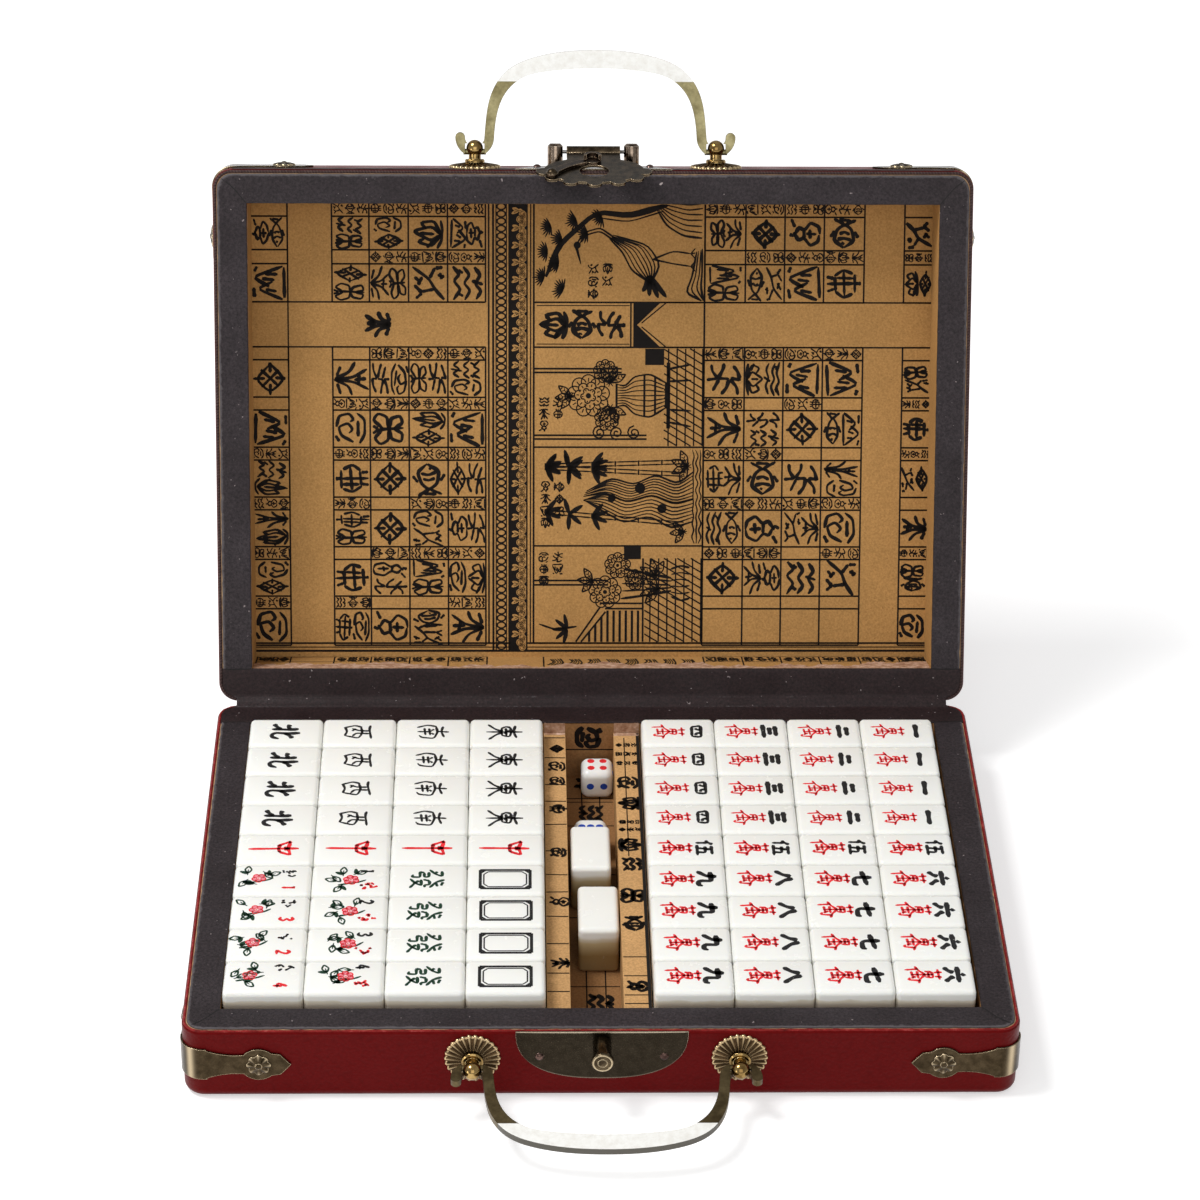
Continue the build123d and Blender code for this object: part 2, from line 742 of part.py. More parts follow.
with BuildPart() as hinge_pins:
    with Locations(*[barrel_line(back_of(base_rim), x) for x, _ in hinge_spots]):
        Cylinder(hinge_pin_radius, hinge_length)
save("hinge_pins", hinge_pins)

hinge_screw = nail(nail_head_radius, nail_head_rise / 2, screw_radius, leaf)
make_nails("hinge_screws_base", on(back_of(base_rim), hinge_screw_spots), hinge_screw)
make_nails("hinge_screws_lid", on(back_of(lid_rim), hinge_screw_spots), hinge_screw)

print("case", case_width, case_depth, base_height, lid_height)
print("hinge axis", hinge_axis_at)
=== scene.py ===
"""Dresses the mahjong case: leather, printed paper, brass hardware, engraved tiles, dice, floor, light and camera.

Lengths are in millimetres in the row frame until a mesh is made.  +X is right, +Y is the hinge, +Z is up.
"""

import json
import math

import bmesh
import bpy
import numpy as np
from mathutils import Matrix, Vector


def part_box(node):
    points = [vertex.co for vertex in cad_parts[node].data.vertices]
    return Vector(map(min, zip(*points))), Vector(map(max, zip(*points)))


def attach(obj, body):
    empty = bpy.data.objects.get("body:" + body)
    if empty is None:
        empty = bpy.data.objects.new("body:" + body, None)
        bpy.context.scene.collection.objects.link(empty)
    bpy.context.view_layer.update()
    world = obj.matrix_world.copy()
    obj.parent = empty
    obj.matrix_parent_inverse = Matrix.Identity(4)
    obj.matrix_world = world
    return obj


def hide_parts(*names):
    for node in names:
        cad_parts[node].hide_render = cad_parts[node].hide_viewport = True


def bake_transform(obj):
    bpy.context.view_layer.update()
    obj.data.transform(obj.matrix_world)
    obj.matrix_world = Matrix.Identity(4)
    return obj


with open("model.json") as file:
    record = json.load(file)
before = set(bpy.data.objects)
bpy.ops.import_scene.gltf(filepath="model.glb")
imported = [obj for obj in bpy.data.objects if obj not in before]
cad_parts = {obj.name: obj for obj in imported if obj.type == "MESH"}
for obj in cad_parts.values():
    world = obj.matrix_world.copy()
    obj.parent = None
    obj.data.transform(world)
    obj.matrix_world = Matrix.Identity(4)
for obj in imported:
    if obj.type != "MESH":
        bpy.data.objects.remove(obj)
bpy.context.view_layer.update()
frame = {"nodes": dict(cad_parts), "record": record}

MM = 0.001
TURN = 2 * math.pi
RIGHT, UP, FRONT = (1, 0, 0), (0, 0, 1), (0, -1, 0)
rng = np.random.default_rng(7)

# ------------------------------------------------------------------ sizes taken from the frame
behaviour = frame["record"]["behaviour"]
body_of = {node: body for body, members in behaviour["bodies"].items() for node in members}
joint_of = {joint["name"]: joint for joint in behaviour["joints"]}


def box(node):
    """Lowest and highest corner of a node, in millimetres."""
    return [np.array(corner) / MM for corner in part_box(node)]


leather_low, leather_high = box("base_side_leather")
WIDTH = leather_high[0] - leather_low[0]
DEPTH = leather_high[1] - leather_low[1]
RIM = box("base_band_front")[1][2]
BAND = RIM - box("base_band_front")[0][2]
FLOOR = box("lower_tiles_left")[0][2]
INNER_X = box("base_lining")[1][0] - 0.3
INNER_Y = box("divider_left")[1][1]
DIVIDER_TOP = box("divider_left")[1][2]
DIVIDERS = ("divider_left", "divider_right")
LEATHER = WIDTH / 2 - box("base_board")[1][0]
CORNER = 6.0
LID_HEIGHT = 22.4
LID_DEPTH = LID_HEIGHT - FLOOR

hinge = joint_of["lid_hinge"]
HINGE_AT = np.array(hinge["pos_m"]) / MM
OPEN = math.radians(-hinge["range_deg"][0])
ALONG = np.array([0, -math.cos(OPEN), math.sin(OPEN)])
OUT = np.array([0, -math.sin(OPEN), -math.cos(OPEN)])


# ------------------------------------------------------------------ frames and meshes
class Plane:
    """A flat frame: x and y lie in it and z leaves it."""

    def __init__(self, origin, x, z):
        self.origin, self.x, self.z = (np.array(v, float) for v in (origin, x, z))
        self.y = np.cross(self.z, self.x)

    def at(self, a, b, c=0.0):
        """The points a along x, b along y and c along z."""
        a, b, c = np.broadcast_arrays(np.asarray(a, float), b, c)
        return self.origin + a[..., None] * self.x + b[..., None] * self.y + c[..., None] * self.z

    def moved(self, a, b, c=0.0):
        return Plane(self.at(a, b, c), self.x, self.z)

    def front(self):
        """Plane on the free-edge face of a half, from its rim plane; y = 0 at the rim."""
        return Plane(self.origin - self.y * DEPTH / 2, self.x, -self.y)

    def side(self, side):
        """Plane on the side face at side * x of a half, from its rim plane; y = 0 at the rim."""
        return Plane(self.origin + self.x * side * WIDTH / 2, self.y * side, self.x * side)


BASE_RIM = Plane((0, 0, RIM), RIGHT, UP)
lid_origin = HINGE_AT + ALONG * HINGE_AT[1] - OUT * (HINGE_AT[2] - RIM)
LID_RIM = Plane(lid_origin, (-1, 0, 0), OUT)
LID_PAPER = Plane(LID_RIM.at(0, 0, -LID_DEPTH), (1, 0, 0), OUT)


def welded(mesh, distance, then):
    """Merges doubled points within `distance` metres, and does one more step to the mesh."""
    shape = bmesh.new()
    shape.from_mesh(mesh)
    bmesh.ops.remove_doubles(shape, verts=shape.verts, dist=distance)
    then(shape)
    shape.to_mesh(mesh)
    shape.free()


class Skin:
    """Gathers grids of points into the mesh of one piece."""

    def __init__(self):
        self.points, self.rubs, self.faces, self.count = [], [], [], 0

    def grid(self, points, ring=False, ends=False, rub=0.0):
        """Quads between the rows of an (n, m, 3) array.  `ring` joins its last column to its first, `ends` closes the
        first and last rows, and the last argument is how bright each point is painted: a painted highlight (also wear
        on leather)."""
        rows, cols = points.shape[:2]
        r = np.arange(rows - 1)[:, None] * cols
        c = np.arange(cols if ring else cols - 1)[None, :]
        n = (c + 1) % cols
        quads = np.stack([r + c, r + n, r + cols + n, r + cols + c], -1).reshape(-1, 4)
        self.faces += (quads + self.count).tolist()
        if ends:
            first = np.arange(cols) + self.count
            self.faces += [first[::-1].tolist(), (first + (rows - 1) * cols).tolist()]
        self.points.append(points.reshape(-1, 3))
        self.rubs.append(np.broadcast_to(rub, (rows, cols)).ravel())
        self.count += rows * cols

    def piece(self, name, material, body, replaces=(), slot=None, facing=None, crease=40):
        """Makes the object.  A closed skin has its doubles merged and its faces turned outwards; an open
        sheet is turned towards `facing`."""
        mesh = bpy.data.meshes.new(name)
        mesh.from_pydata(np.concatenate(self.points) * MM, [], self.faces)
        # Per-point painted highlight, with wear on the leather edging, stored for the materials to read.
        rubs = np.concatenate(self.rubs)
        if rubs.any():
            mesh.attributes.new("rub", "FLOAT", "POINT").data.foreach_set("value", rubs.astype(np.float32))
        if facing is None:
            welded(mesh, 2e-6, lambda shape: bmesh.ops.recalc_face_normals(shape, faces=shape.faces))
        else:
            normals = np.zeros(len(mesh.polygons) * 3)
            mesh.polygons.foreach_get("normal", normals)
            if normals.reshape(-1, 3).sum(0) @ np.asarray(facing, float) < 0:
                mesh.flip_normals()
        return finish_piece(name, mesh, material, body, replaces, crease)


class Pen:
    """Draws on one plane into one skin."""

    def __init__(self, skin, plane):
        self.skin, self.plane = skin, plane

    def grid(self, x, y, lift):
        self.skin.grid(self.plane.at(x, y, lift))


def finish_piece(name, mesh, material, body, replaces=(), crease=40):
    """Smooth shading, material and body; hides the nodes it replaces."""
    mesh.polygons.foreach_set("use_smooth", np.ones(len(mesh.polygons), bool))
    mesh.set_sharp_from_angle(angle=math.radians(crease))
    mesh.materials.clear()
    mesh.materials.append(material)
    piece = bpy.data.objects.new(name, mesh)
    bpy.context.scene.collection.objects.link(piece)
    if body:
        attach(piece, body)
    if replaces:
        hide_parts(*replaces)
    return piece


def softened(node, material, bevel, steps=2):
    """Merged copy of a node with its sharp edges rounded over."""
    mesh = frame["nodes"][node].data.copy()
    welded(mesh, 1e-6, lambda shape: bmesh.ops.dissolve_limit(shape, angle_limit=math.radians(0.5),
        verts=shape.verts, edges=shape.edges))
    crease = 35
    piece = finish_piece(node + "_finished", mesh, material, body_of[node], (node,), crease)
    rounding = piece.modifiers.new("rounded edges", "BEVEL")
    rounding.width = bevel * MM
    rounding.segments = steps
    rounding.limit_method = "ANGLE"
    rounding.angle_limit = math.radians(crease)
    rounding.harden_normals = False
    rounding.use_clamp_overlap = True
    return piece


def toward(angle):
    """Unit step in the direction of an angle."""
    return np.array([math.cos(angle), math.sin(angle)])


def around(x, y, reach, angle):
    """The point at `reach` from (x, y) in the direction of an angle."""
    return x + reach * math.cos(angle), y + reach * math.sin(angle)


def evenly(route, count, endpoint=True):
    """Points at equal steps along a line of (x, y) rows, and their distance along it."""
    run = np.concatenate([[0], np.cumsum(np.linalg.norm(np.diff(route, axis=0), axis=1))])
    at = np.linspace(0, run[-1], count, endpoint=endpoint)
    return np.stack([np.interp(at, run, route[:, 0]), np.interp(at, run, route[:, 1])], -1), at


def wobble(t, seed):
    """Smooth unevenness along a length in millimetres: a sum of sines with shuffled phases, about +-1."""
    waves = ((0.21, 1.0), (0.57, 0.6), (1.3, 0.35), (2.9, 0.2))
    phases = np.random.default_rng(seed).uniform(0, TURN, len(waves))
    return sum(size * np.sin(t * rate + phase) for (rate, size), phase in zip(waves, phases)) / 1.6


# ------------------------------------------------------------------ materials
class Recipe:
    """A principled material built from procedural nodes on object coordinates, in metres."""

    def __init__(self, name, roughness=0.5, metallic=0.0, gloss=0.5, **sockets):
        self.material = bpy.data.materials.new(name)
        self.material.use_nodes = True
        self.tree = self.material.node_tree
        self.shader = self.tree.nodes["Principled BSDF"]
        self.shader.inputs["Roughness"].default_value = roughness
        self.shader.inputs["Metallic"].default_value = metallic
        self.shader.inputs["Specular IOR Level"].default_value = gloss
        for socket, value in sockets.items():
            self.shader.inputs[socket.replace("_", " ")].default_value = value
        self.coords = self.tree.nodes.new("ShaderNodeTexCoord").outputs["Object"]

    def add(self, kind, inputs, output=0, **settings):
        """Output of a new shader node with the given inputs and settings."""
        step = self.tree.nodes.new("ShaderNode" + kind)
        for key, value in settings.items():
            setattr(step, key, value)
        for key, value in inputs.items():
            if isinstance(value, bpy.types.NodeSocket):
                self.tree.links.new(value, step.inputs[key])
            elif value is not None:
                step.inputs[key].default_value = value
        return step.outputs[output]

    def noise(self, scale, detail=4.0, rough=0.55, stretch=None):
        coords = self.coords
        if stretch:
            coords = self.add("Mapping", {"Vector": coords, "Scale": stretch})
        return self.add("TexNoise", {"Vector": coords, "Scale": scale, "Detail": detail, "Roughness": rough})

    def cells(self, scale, feature="F1"):
        return self.add("TexVoronoi", {"Vector": self.coords, "Scale": scale}, output="Distance", feature=feature)

    def ramp(self, value, *stops):
        """Colour or grey value against (position, colour) stops."""
        step = self.tree.nodes.new("ShaderNodeValToRGB")
        self.tree.links.new(value, step.inputs["Fac"])
        while len(step.color_ramp.elements) < len(stops):
            step.color_ramp.elements.new(0.5)
        for element, (position, colour) in zip(step.color_ramp.elements, stops):
            element.position = position
            element.color = (*colour, 1) if hasattr(colour, "__len__") else (colour, colour, colour, 1)
        return step.outputs["Color"]

    def mix(self, share, a, b, blend="MIX"):
        step = self.tree.nodes.new("ShaderNodeMix")
        step.data_type = "RGBA"
        step.blend_type = blend
        for socket, value in ((step.inputs[0], share), (step.inputs[6], a), (step.inputs[7], b)):
            if isinstance(value, bpy.types.NodeSocket):
                self.tree.links.new(value, socket)
            elif hasattr(value, "__len__"):
                socket.default_value = (*value, 1)
            else:
                socket.default_value = value
        return step.outputs[2]

    def math(self, operation, a, b=None):
        return self.add("Math", {0: a, 1: b}, operation=operation)

    def dot(self, a, b):
        return self.add("VectorMath", {0: a, 1: b}, output="Value", operation="DOT_PRODUCT")

    def feed(self, socket, value):
        """Links a value to a socket of the shader."""
        self.tree.links.new(value, self.shader.inputs[socket])
        return self

    def sum(self, *parts):
        """Weighted sum of (value, weight) pairs."""
        total = None
        for value, weight in parts:
            part = self.math("MULTIPLY", value, weight)
            total = part if total is None else self.math("ADD", total, part)
        return total

    def rub(self):
        """How bright the piece's own points are painted: a painted highlight, and on the leather edging also wear."""
        return self.add("Attribute", {}, output="Fac", attribute_name="rub")

    def height(self):
        return self.add("SeparateXYZ", {"Vector": self.coords}, output="Z")

    def roundness(self, edge_width):
        """1 on flat metal, falling within the given millimetres of an edge."""
        rounded = self.add("Bevel", {"Radius": edge_width * MM}, samples=4)
        surface = self.add("NewGeometry", {}, output="Normal")
        return self.dot(rounded, surface)

    def colour(self, value):
        return self.feed("Base Color", value)

    def rough(self, value):
        return self.feed("Roughness", value)

    def bump(self, height, strength=0.5, depth=0.2):
        """Relief whose full height is `depth` millimetres."""
        return self.feed("Normal", self.add("Bump", {"Height": height, "Strength": strength,
            "Distance": depth * MM}, output="Normal"))


def shade(colour, share):
    return tuple(c * share for c in colour)


def red_leather(name="red_leather", footed=False):
    """Deep red lacquered hide: faint mottling, pebble grain and a red sheen; `footed`, its lowest millimetre or two
    is darkened nearly to black."""
    r = Recipe(name, gloss=0.22, Specular_Tint=(1.0, 0.10, 0.08, 1))
    mottle = r.ramp(r.noise(45, 6), (0.3, (0.100, 0.0028, 0.0032)), (0.7, (0.112, 0.0040, 0.0045)))
    grain = r.cells(1150, "SMOOTH_F1")
    valleys = r.ramp(grain, (0.25, 1.0), (0.8, 0.8))
    scuffs = r.ramp(r.noise(260, 8, 0.7), (0.70, 0.0), (0.80, 0.7))
    worn = r.mix(scuffs, r.mix(1.0, mottle, valleys, "MULTIPLY"), (0.16, 0.018, 0.016))
    if footed:
        # Darker towards the bottom: the lowest millimetre or two goes nearly black.
        foot = r.ramp(r.sum((r.height(), 500.0), (r.noise(70, 3), 0.9)), (0.75, 0.85), (1.0, 0.0))
        worn = r.mix(foot, worn, (0.018, 0.006, 0.006))
    r.colour(worn).rough(r.ramp(r.noise(120, 5), (0.35, 0.36), (0.7, 0.5)))
    return r.bump(r.sum((grain, -0.6), (r.noise(2600, 3), 0.35)), 0.5, 0.2).material


def turned_edge_leather():
    """Red hide pared and turned over: crumbly, pale torn fibres, painted brighter as a highlight on the rounded edge.
    """
    r = Recipe("turned_edge_leather", gloss=0.3, Specular_Tint=(1.0, 0.4, 0.36, 1))
    # Painted highlight: the brightest stops stand for light along the rounded edge.
    base = r.ramp(r.noise(260, 7, 0.7), (0.3, (0.085, 0.004, 0.004)), (0.55, (0.23, 0.014, 0.014)),
        (0.80, (0.46, 0.10, 0.09)))
    flecks = r.ramp(r.noise(1100, 4, 0.7), (0.72, 0.0), (0.78, 1.0))
    r.colour(r.mix(flecks, base, (0.50, 0.26, 0.24))).rough(r.ramp(r.noise(400, 3), (0.3, 0.35), (0.7, 0.6)))
    return r.bump(r.sum((r.noise(900, 5, 0.7), 1.0), (r.cells(700), 0.5)), 0.6, 0.3).material


def whipped_cord():
    """Waxed thread whipped over the lid's edge: dark plum, with a painted highlight on the raised turns."""
    r = Recipe("whipped_cord", gloss=0.25)
    dark = r.ramp(r.noise(900, 4), (0.3, (0.008, 0.003, 0.003)), (0.7, (0.028, 0.0075, 0.0075)))
    light = r.ramp(r.noise(700, 4), (0.3, (0.050, 0.024, 0.021)), (0.7, (0.105, 0.066, 0.058)))
    # Painted highlight on the raised turns, from the per-point sheen value.
    r.colour(r.mix(r.rub(), dark, light)).rough(r.ramp(r.noise(300, 3), (0.3, 0.5), (0.7, 0.75)))
    return r.bump(r.noise(2200, 4), 0.5, 0.12).material


def edge_leather(name, low, high):
    """Charcoal or plum edging: soft mottling, crisp fine grain, sparse pale flecks and chips, and a lighter
    sheen where the piece's sheen value is high: wear, and a painted highlight along the edges."""
    r = Recipe(name, gloss=0.22)
    tone = r.ramp(r.noise(38, 6, 0.6), (0.3, low), (0.7, high))
    fine = r.ramp(r.noise(1200, 6, 0.8), (0.34, 0.30), (0.68, 1.62))
    # Lighter where the sheen value is high: wear, and a painted highlight.
    worn_sheen = r.ramp(r.sum((r.rub(), 0.62), (r.noise(620, 4, 0.7), 0.75)), (0.62, 0.0), (0.88, 1.0))
    leather = r.mix(worn_sheen, r.mix(1.0, tone, fine, "MULTIPLY"), (0.088, 0.078, 0.082))
    flecks = r.ramp(r.noise(720, 2, 0.5), (0.735, 0.0), (0.76, 1.0))
    chips = r.ramp(r.noise(170, 3, 0.7), (0.745, 0.0), (0.765, 1.0))
    r.colour(r.mix(chips, r.mix(flecks, leather, (0.24, 0.20, 0.20)), (0.42, 0.36, 0.35)))
    r.rough(r.ramp(r.noise(90, 4), (0.3, 0.48), (0.7, 0.66)))
    grain = r.sum((r.cells(1500, "SMOOTH_F1"), -0.5), (r.noise(520, 6, 0.65), 0.9))
    return r.bump(grain, 0.6, 0.2).material


def printed_paper(name="printed_paper", tone=(0.43, 0.232, 0.078)):
    """Golden-brown paper: cloudy ageing, salt-and-pepper grain and a soft tooth."""
    r = Recipe(name, roughness=0.85, gloss=0.12)
    dark = shade(tone, 0.84)
    light = shade(tone, 1.06)
    cloud = r.ramp(r.noise(22, 6, 0.6), (0.3, dark), (0.7, light))
    grain = r.ramp(r.noise(1500, 3, 0.7), (0.32, 0.78), (0.68, 1.18))
    specks = r.ramp(r.noise(1250, 2), (0.72, 0.0), (0.77, 1.0))
    r.colour(r.mix(specks, r.mix(1.0, cloud, grain, "MULTIPLY"), (0.17, 0.08, 0.03)))
    return r.bump(r.noise(1300, 4), 0.25, 0.08).material


def torn_paper():
    """Frayed paper edge: pale pink-brown, fibrous."""
    r = Recipe("torn_paper", roughness=0.9, gloss=0.2)
    r.colour(r.ramp(r.noise(420, 6, 0.7), (0.3, (0.22, 0.10, 0.055)), (0.5, (0.42, 0.25, 0.16)),
        (0.75, (0.72, 0.52, 0.42))))
    return r.bump(r.noise(1100, 5, 0.7), 0.7, 0.3).material


def ink(name, colour, ground, worn_from=0.66, shine=0.3):
    """Ink or engraver's paint, thinned to the ground where it has rubbed off."""
    r = Recipe(name, roughness=0.6, gloss=shine)
    rubbed = r.ramp(r.noise(650, 5, 0.7), (worn_from, 0.0), (worn_from + 0.12, 0.8))
    density = r.ramp(r.noise(300, 3), (0.3, shade(colour, 0.8)), (0.8, shade(colour, 1.25)))
    return r.colour(r.mix(rubbed, density, ground)).material


def ivory(name="tile_ivory", tone=(0.86, 0.86, 0.82), reflection_span=None, depth=1.0):
    """Polished off-white tile: faint clouding, slight depth and hairline wear.  The given span of heights in
    millimetres is where the sides turn amber downwards, as strongly as `depth` says: painted reflection and shade."""
    r = Recipe(name, gloss=0.5, Subsurface_Weight=0.10, Subsurface_Scale=0.0012)
    r.shader.inputs["Subsurface Radius"].default_value = (1.0, 0.8, 0.5)
    colour = r.ramp(r.noise(60, 4), (0.3, shade(tone, 0.975)), (0.7, tone))
    # Painted reflection of the brown paper, and painted shade, on the lower sides.
    if reflection_span:
        wavy = r.sum((r.height(), 1000.0), (r.noise(140, 2), 1.6))
        share = r.add("MapRange", {"Value": wavy, "From Min": reflection_span[1] + 0.8, "From Max": reflection_span[0] + 0.8})
        amber = r.ramp(share, (0.0, (0.80, 0.79, 0.72)), (0.22, (0.52, 0.42, 0.24)), (0.6, (0.29, 0.195, 0.082)),
            (1.0, (0.31, 0.225, 0.11)))
        colour = r.mix(r.ramp(share, (0.0, 0.0), (0.10, depth)), colour, amber)
    r.colour(colour).rough(r.ramp(r.noise(200, 5, 0.6), (0.3, 0.20), (0.75, 0.30)))
    return r.bump(r.noise(420, 4), 0.10, 0.04).material


def patinated(name, dark, bright, edge, edge_width=0.28, shade_and_grime=0.0, roughness=(0.22, 0.36), grain=420):
    """Old copper alloy: soft patina between `dark` and `bright` under a fine tarnish.  The `edge` colour is painted
    along its edges over the given width in millimetres and wherever the piece's own sheen value is high, as a painted
    highlight (on the bails the edge colour is dark); an occlusion mask darkens its corners as painted shade and dirt."""
    r = Recipe(name, metallic=1.0)
    tarnish = r.ramp(r.noise(grain * 5, 3, 0.6), (0.3, 0.80), (0.7, 1.14))
    tone = r.mix(1.0, r.ramp(r.noise(grain, 3, 0.5), (0.34, dark), (0.70, bright)), tarnish, "MULTIPLY")
    # Painted shade in corners and hollows from an occlusion mask, standing also for dirt there.
    if shade_and_grime:
        open_air = r.add("AmbientOcclusion", {"Distance": shade_and_grime * MM}, output="AO", samples=6)
        tone = r.mix(r.ramp(open_air, (0.35, 1.0), (0.85, 0.0)), tone, shade(dark, 0.35))
    # Painted highlight: the edge colour along the edges and where the sheen value is high.
    ragged = r.sum((r.roundness(edge_width), 1.0), (r.noise(grain * 4, 3), 0.04))
    tone = r.mix(r.ramp(ragged, (0.93, 1.0), (1.01, 0.0)), tone, edge)
    r.tone = r.mix(r.rub(), tone, edge)
    r.colour(r.tone).rough(r.ramp(r.noise(grain * 3, 4), (0.3, roughness[0]), (0.75, roughness[1])))
    r.bump(r.sum((r.noise(grain * 4, 4, 0.6), 1.0), (r.cells(grain * 6), 0.3)), 0.22, 0.05)
    return r


def bail_metal(name, dark, bright, pivot, along, cut):
    """A bail: olive patina on its legs with dark edges, and a grip that is pale on its broad faces beyond `cut`
    millimetres from the pivot, measured `along` the bail."""
    r = patinated(name, dark, bright, (0.035, 0.026, 0.014), 0.22, roughness=(0.32, 0.46), grain=200)
    far = r.dot(r.coords, tuple(along))
    start = float(np.dot(pivot, along) + cut) * MM
    grip = r.add("MapRange", {"Value": far, "From Min": start, "From Max": start + 0.0002})
    broad = tuple(np.cross((1, 0, 0), along))
    normal = r.tree.nodes.new("ShaderNodeTexCoord").outputs["Normal"]
    facing = r.math("ABSOLUTE", r.dot(normal, broad))
    pale = r.ramp(r.noise(420, 6, 0.7), (0.3, (0.74, 0.72, 0.67)), (0.6, (0.86, 0.855, 0.82)))
    pale = r.mix(r.ramp(facing, (0.45, 1.0), (0.8, 0.0)), pale, (0.075, 0.066, 0.048))
    r.colour(r.mix(grip, r.tone, pale))
    return r.feed("Metallic", r.math("SUBTRACT", 1.0, grip))


def bare_wood():
    """Softwood: long streaks along X."""
    r = Recipe("carcass_wood", roughness=0.7)
    streaks = r.noise(240, 6, 0.6, stretch=(0.06, 1, 1))
    r.colour(r.ramp(streaks, (0.3, (0.30, 0.17, 0.08)), (0.7, (0.52, 0.34, 0.18))))
    return r.bump(streaks, 0.3, 0.1).material


RED = red_leather()
FOOTED_RED = red_leather("red_leather_footed", True)
TURNED = turned_edge_leather()
CORD = whipped_cord()
EDGE = edge_leather("edge_leather", (0.0185, 0.0130, 0.0145), (0.034, 0.0265, 0.0295))
HINGE_LEATHER = edge_leather("hinge_leather", (0.0145, 0.0066, 0.0070), (0.0235, 0.0130, 0.0135))
PAPER = printed_paper()
DIVIDER_PAPER = printed_paper("divider_paper", (0.54, 0.31, 0.13))
# Darker copy of the paper for the base's lining: painted shade for the shadowed channel.
SHADED_CHANNEL_PAPER = printed_paper("channel_paper_shaded", (0.30, 0.155, 0.062))
TORN = torn_paper()
PRINT = ink("print_ink", (0.0075, 0.0055, 0.0045), (0.30, 0.16, 0.055), 0.69, 0.1)
RELIEF = printed_paper("print_relief", (0.41, 0.222, 0.076))
SEAM = ink("seam_shadow", (0.004, 0.003, 0.003), (0.02, 0.015, 0.015), 0.7)
IVORY = ivory()
# Blank tiles and top tiles whose lower sides carry painted reflection and shade.
BROWN_REFLECTION_IVORY = ivory("ivory_brown_reflection", reflection_span=(4.0, 15.8))
BLOCK_REFLECTION_IVORY = ivory("block_ivory", reflection_span=(20.6, 24.0), depth=0.55)
DIE_IVORY = ivory("die_ivory", (0.86, 0.87, 0.85))
TILE_GROUND = (0.80, 0.80, 0.76)
INK = {word: ink("engraved_" + word, colour, TILE_GROUND, worn_from) for word, colour, worn_from in (
    ("black", (0.012, 0.012, 0.013), 0.66), ("red", (0.75, 0.022, 0.030), 0.70), ("pink", (0.80, 0.22, 0.27), 0.70),
    ("green", (0.006, 0.038, 0.018), 0.72), ("blue", (0.012, 0.06, 0.42), 0.8))}
# Dark, bright and edge colours (the edge a painted highlight), then edge width, painted shade and grime distance,
# roughness and grain where they differ.
METAL = {name: patinated(name, *values).material for name, values in {
    "dark_bronze": ((0.024, 0.0185, 0.012), (0.034, 0.0265, 0.0175), (0.50, 0.42, 0.31), 0.22),
    "bronze": ((0.036, 0.025, 0.013), (0.072, 0.051, 0.028), (0.60, 0.48, 0.31), 0.30, 1.1, (0.2, 0.32)),
    "rosette_bronze": ((0.032, 0.018, 0.008), (0.095, 0.056, 0.026), (0.70, 0.52, 0.29), 0.2, 1.2),
    "polished_brass": ((0.20, 0.12, 0.04), (0.50, 0.34, 0.13), (0.85, 0.68, 0.36), 0.2, 2.4, (0.10, 0.2), 300),
    "hasp_bronze": ((0.028, 0.020, 0.012), (0.105, 0.076, 0.047), (0.52, 0.40, 0.26), 0.3, 1.2),
    "hasp_post_bronze": ((0.12, 0.085, 0.06), (0.40, 0.31, 0.235), (0.85, 0.74, 0.60), 0.3, 1.6, (0.10, 0.2)),
    "stud_bronze": ((0.040, 0.028, 0.016), (0.135, 0.098, 0.056), (0.66, 0.53, 0.34), 0.35, 1.4, (0.2, 0.3)),
    "lever_bronze": ((0.024, 0.015, 0.010), (0.075, 0.048, 0.031), (0.55, 0.42, 0.28), 0.25, 1.0),
    "nail_copper": ((0.055, 0.032, 0.026), (0.19, 0.115, 0.095), (0.55, 0.38, 0.33), 0.15),
    "hinge_brass": ((0.10, 0.065, 0.035), (0.28, 0.20, 0.10), (0.5, 0.4, 0.25)),
    "screw_steel": ((0.13, 0.12, 0.11), (0.42, 0.40, 0.38), (0.7, 0.68, 0.65)),
}.items()}
base_pivot, lid_pivot = (np.array(joint_of[f"{half}_bail_pivot"]["pos_m"]) / MM for half in ("base", "lid"))
DROOP = math.radians(8)
BASE_BAIL = bail_metal("base_bail_brass", (0.078, 0.056, 0.027), (0.165, 0.125, 0.062), base_pivot,
    (0, -math.cos(DROOP), -math.sin(DROOP)), 21.6).material
LID_BAIL = bail_metal("lid_bail_brass", (0.20, 0.17, 0.082), (0.35, 0.31, 0.165), lid_pivot, ALONG, 21.6).material
WOOD = bare_wood()


def paint(material, *names):
    """Gives kept nodes a material."""
    for name in names:
        node = frame["nodes"][name]
        node.data.materials.clear()
        node.data.materials.append(material)


paint(WOOD, "base_board", "lid_board")
paint(RED, "base_flat_leather", "lid_side_leather", "lid_flat_leather")
paint(FOOTED_RED, "base_side_leather")
paint(PAPER, "lid_lining")
# The lining takes the darker copy of the paper: painted shade.
paint(SHADED_CHANNEL_PAPER, "base_lining")
paint(DIVIDER_PAPER, *DIVIDERS)
paint(METAL["hinge_brass"], "hinge_leaves_base", "hinge_leaves_lid", "hinge_pins")
paint(METAL["screw_steel"], "hinge_screws_base", "hinge_screws_lid", "hasp_pin")

# ------------------------------------------------------------------ leather edging on the rims
OUTER_X, OUTER_Y, OUTER_R = WIDTH / 2 - LEATHER, DEPTH / 2 - LEATHER, CORNER - LEATHER


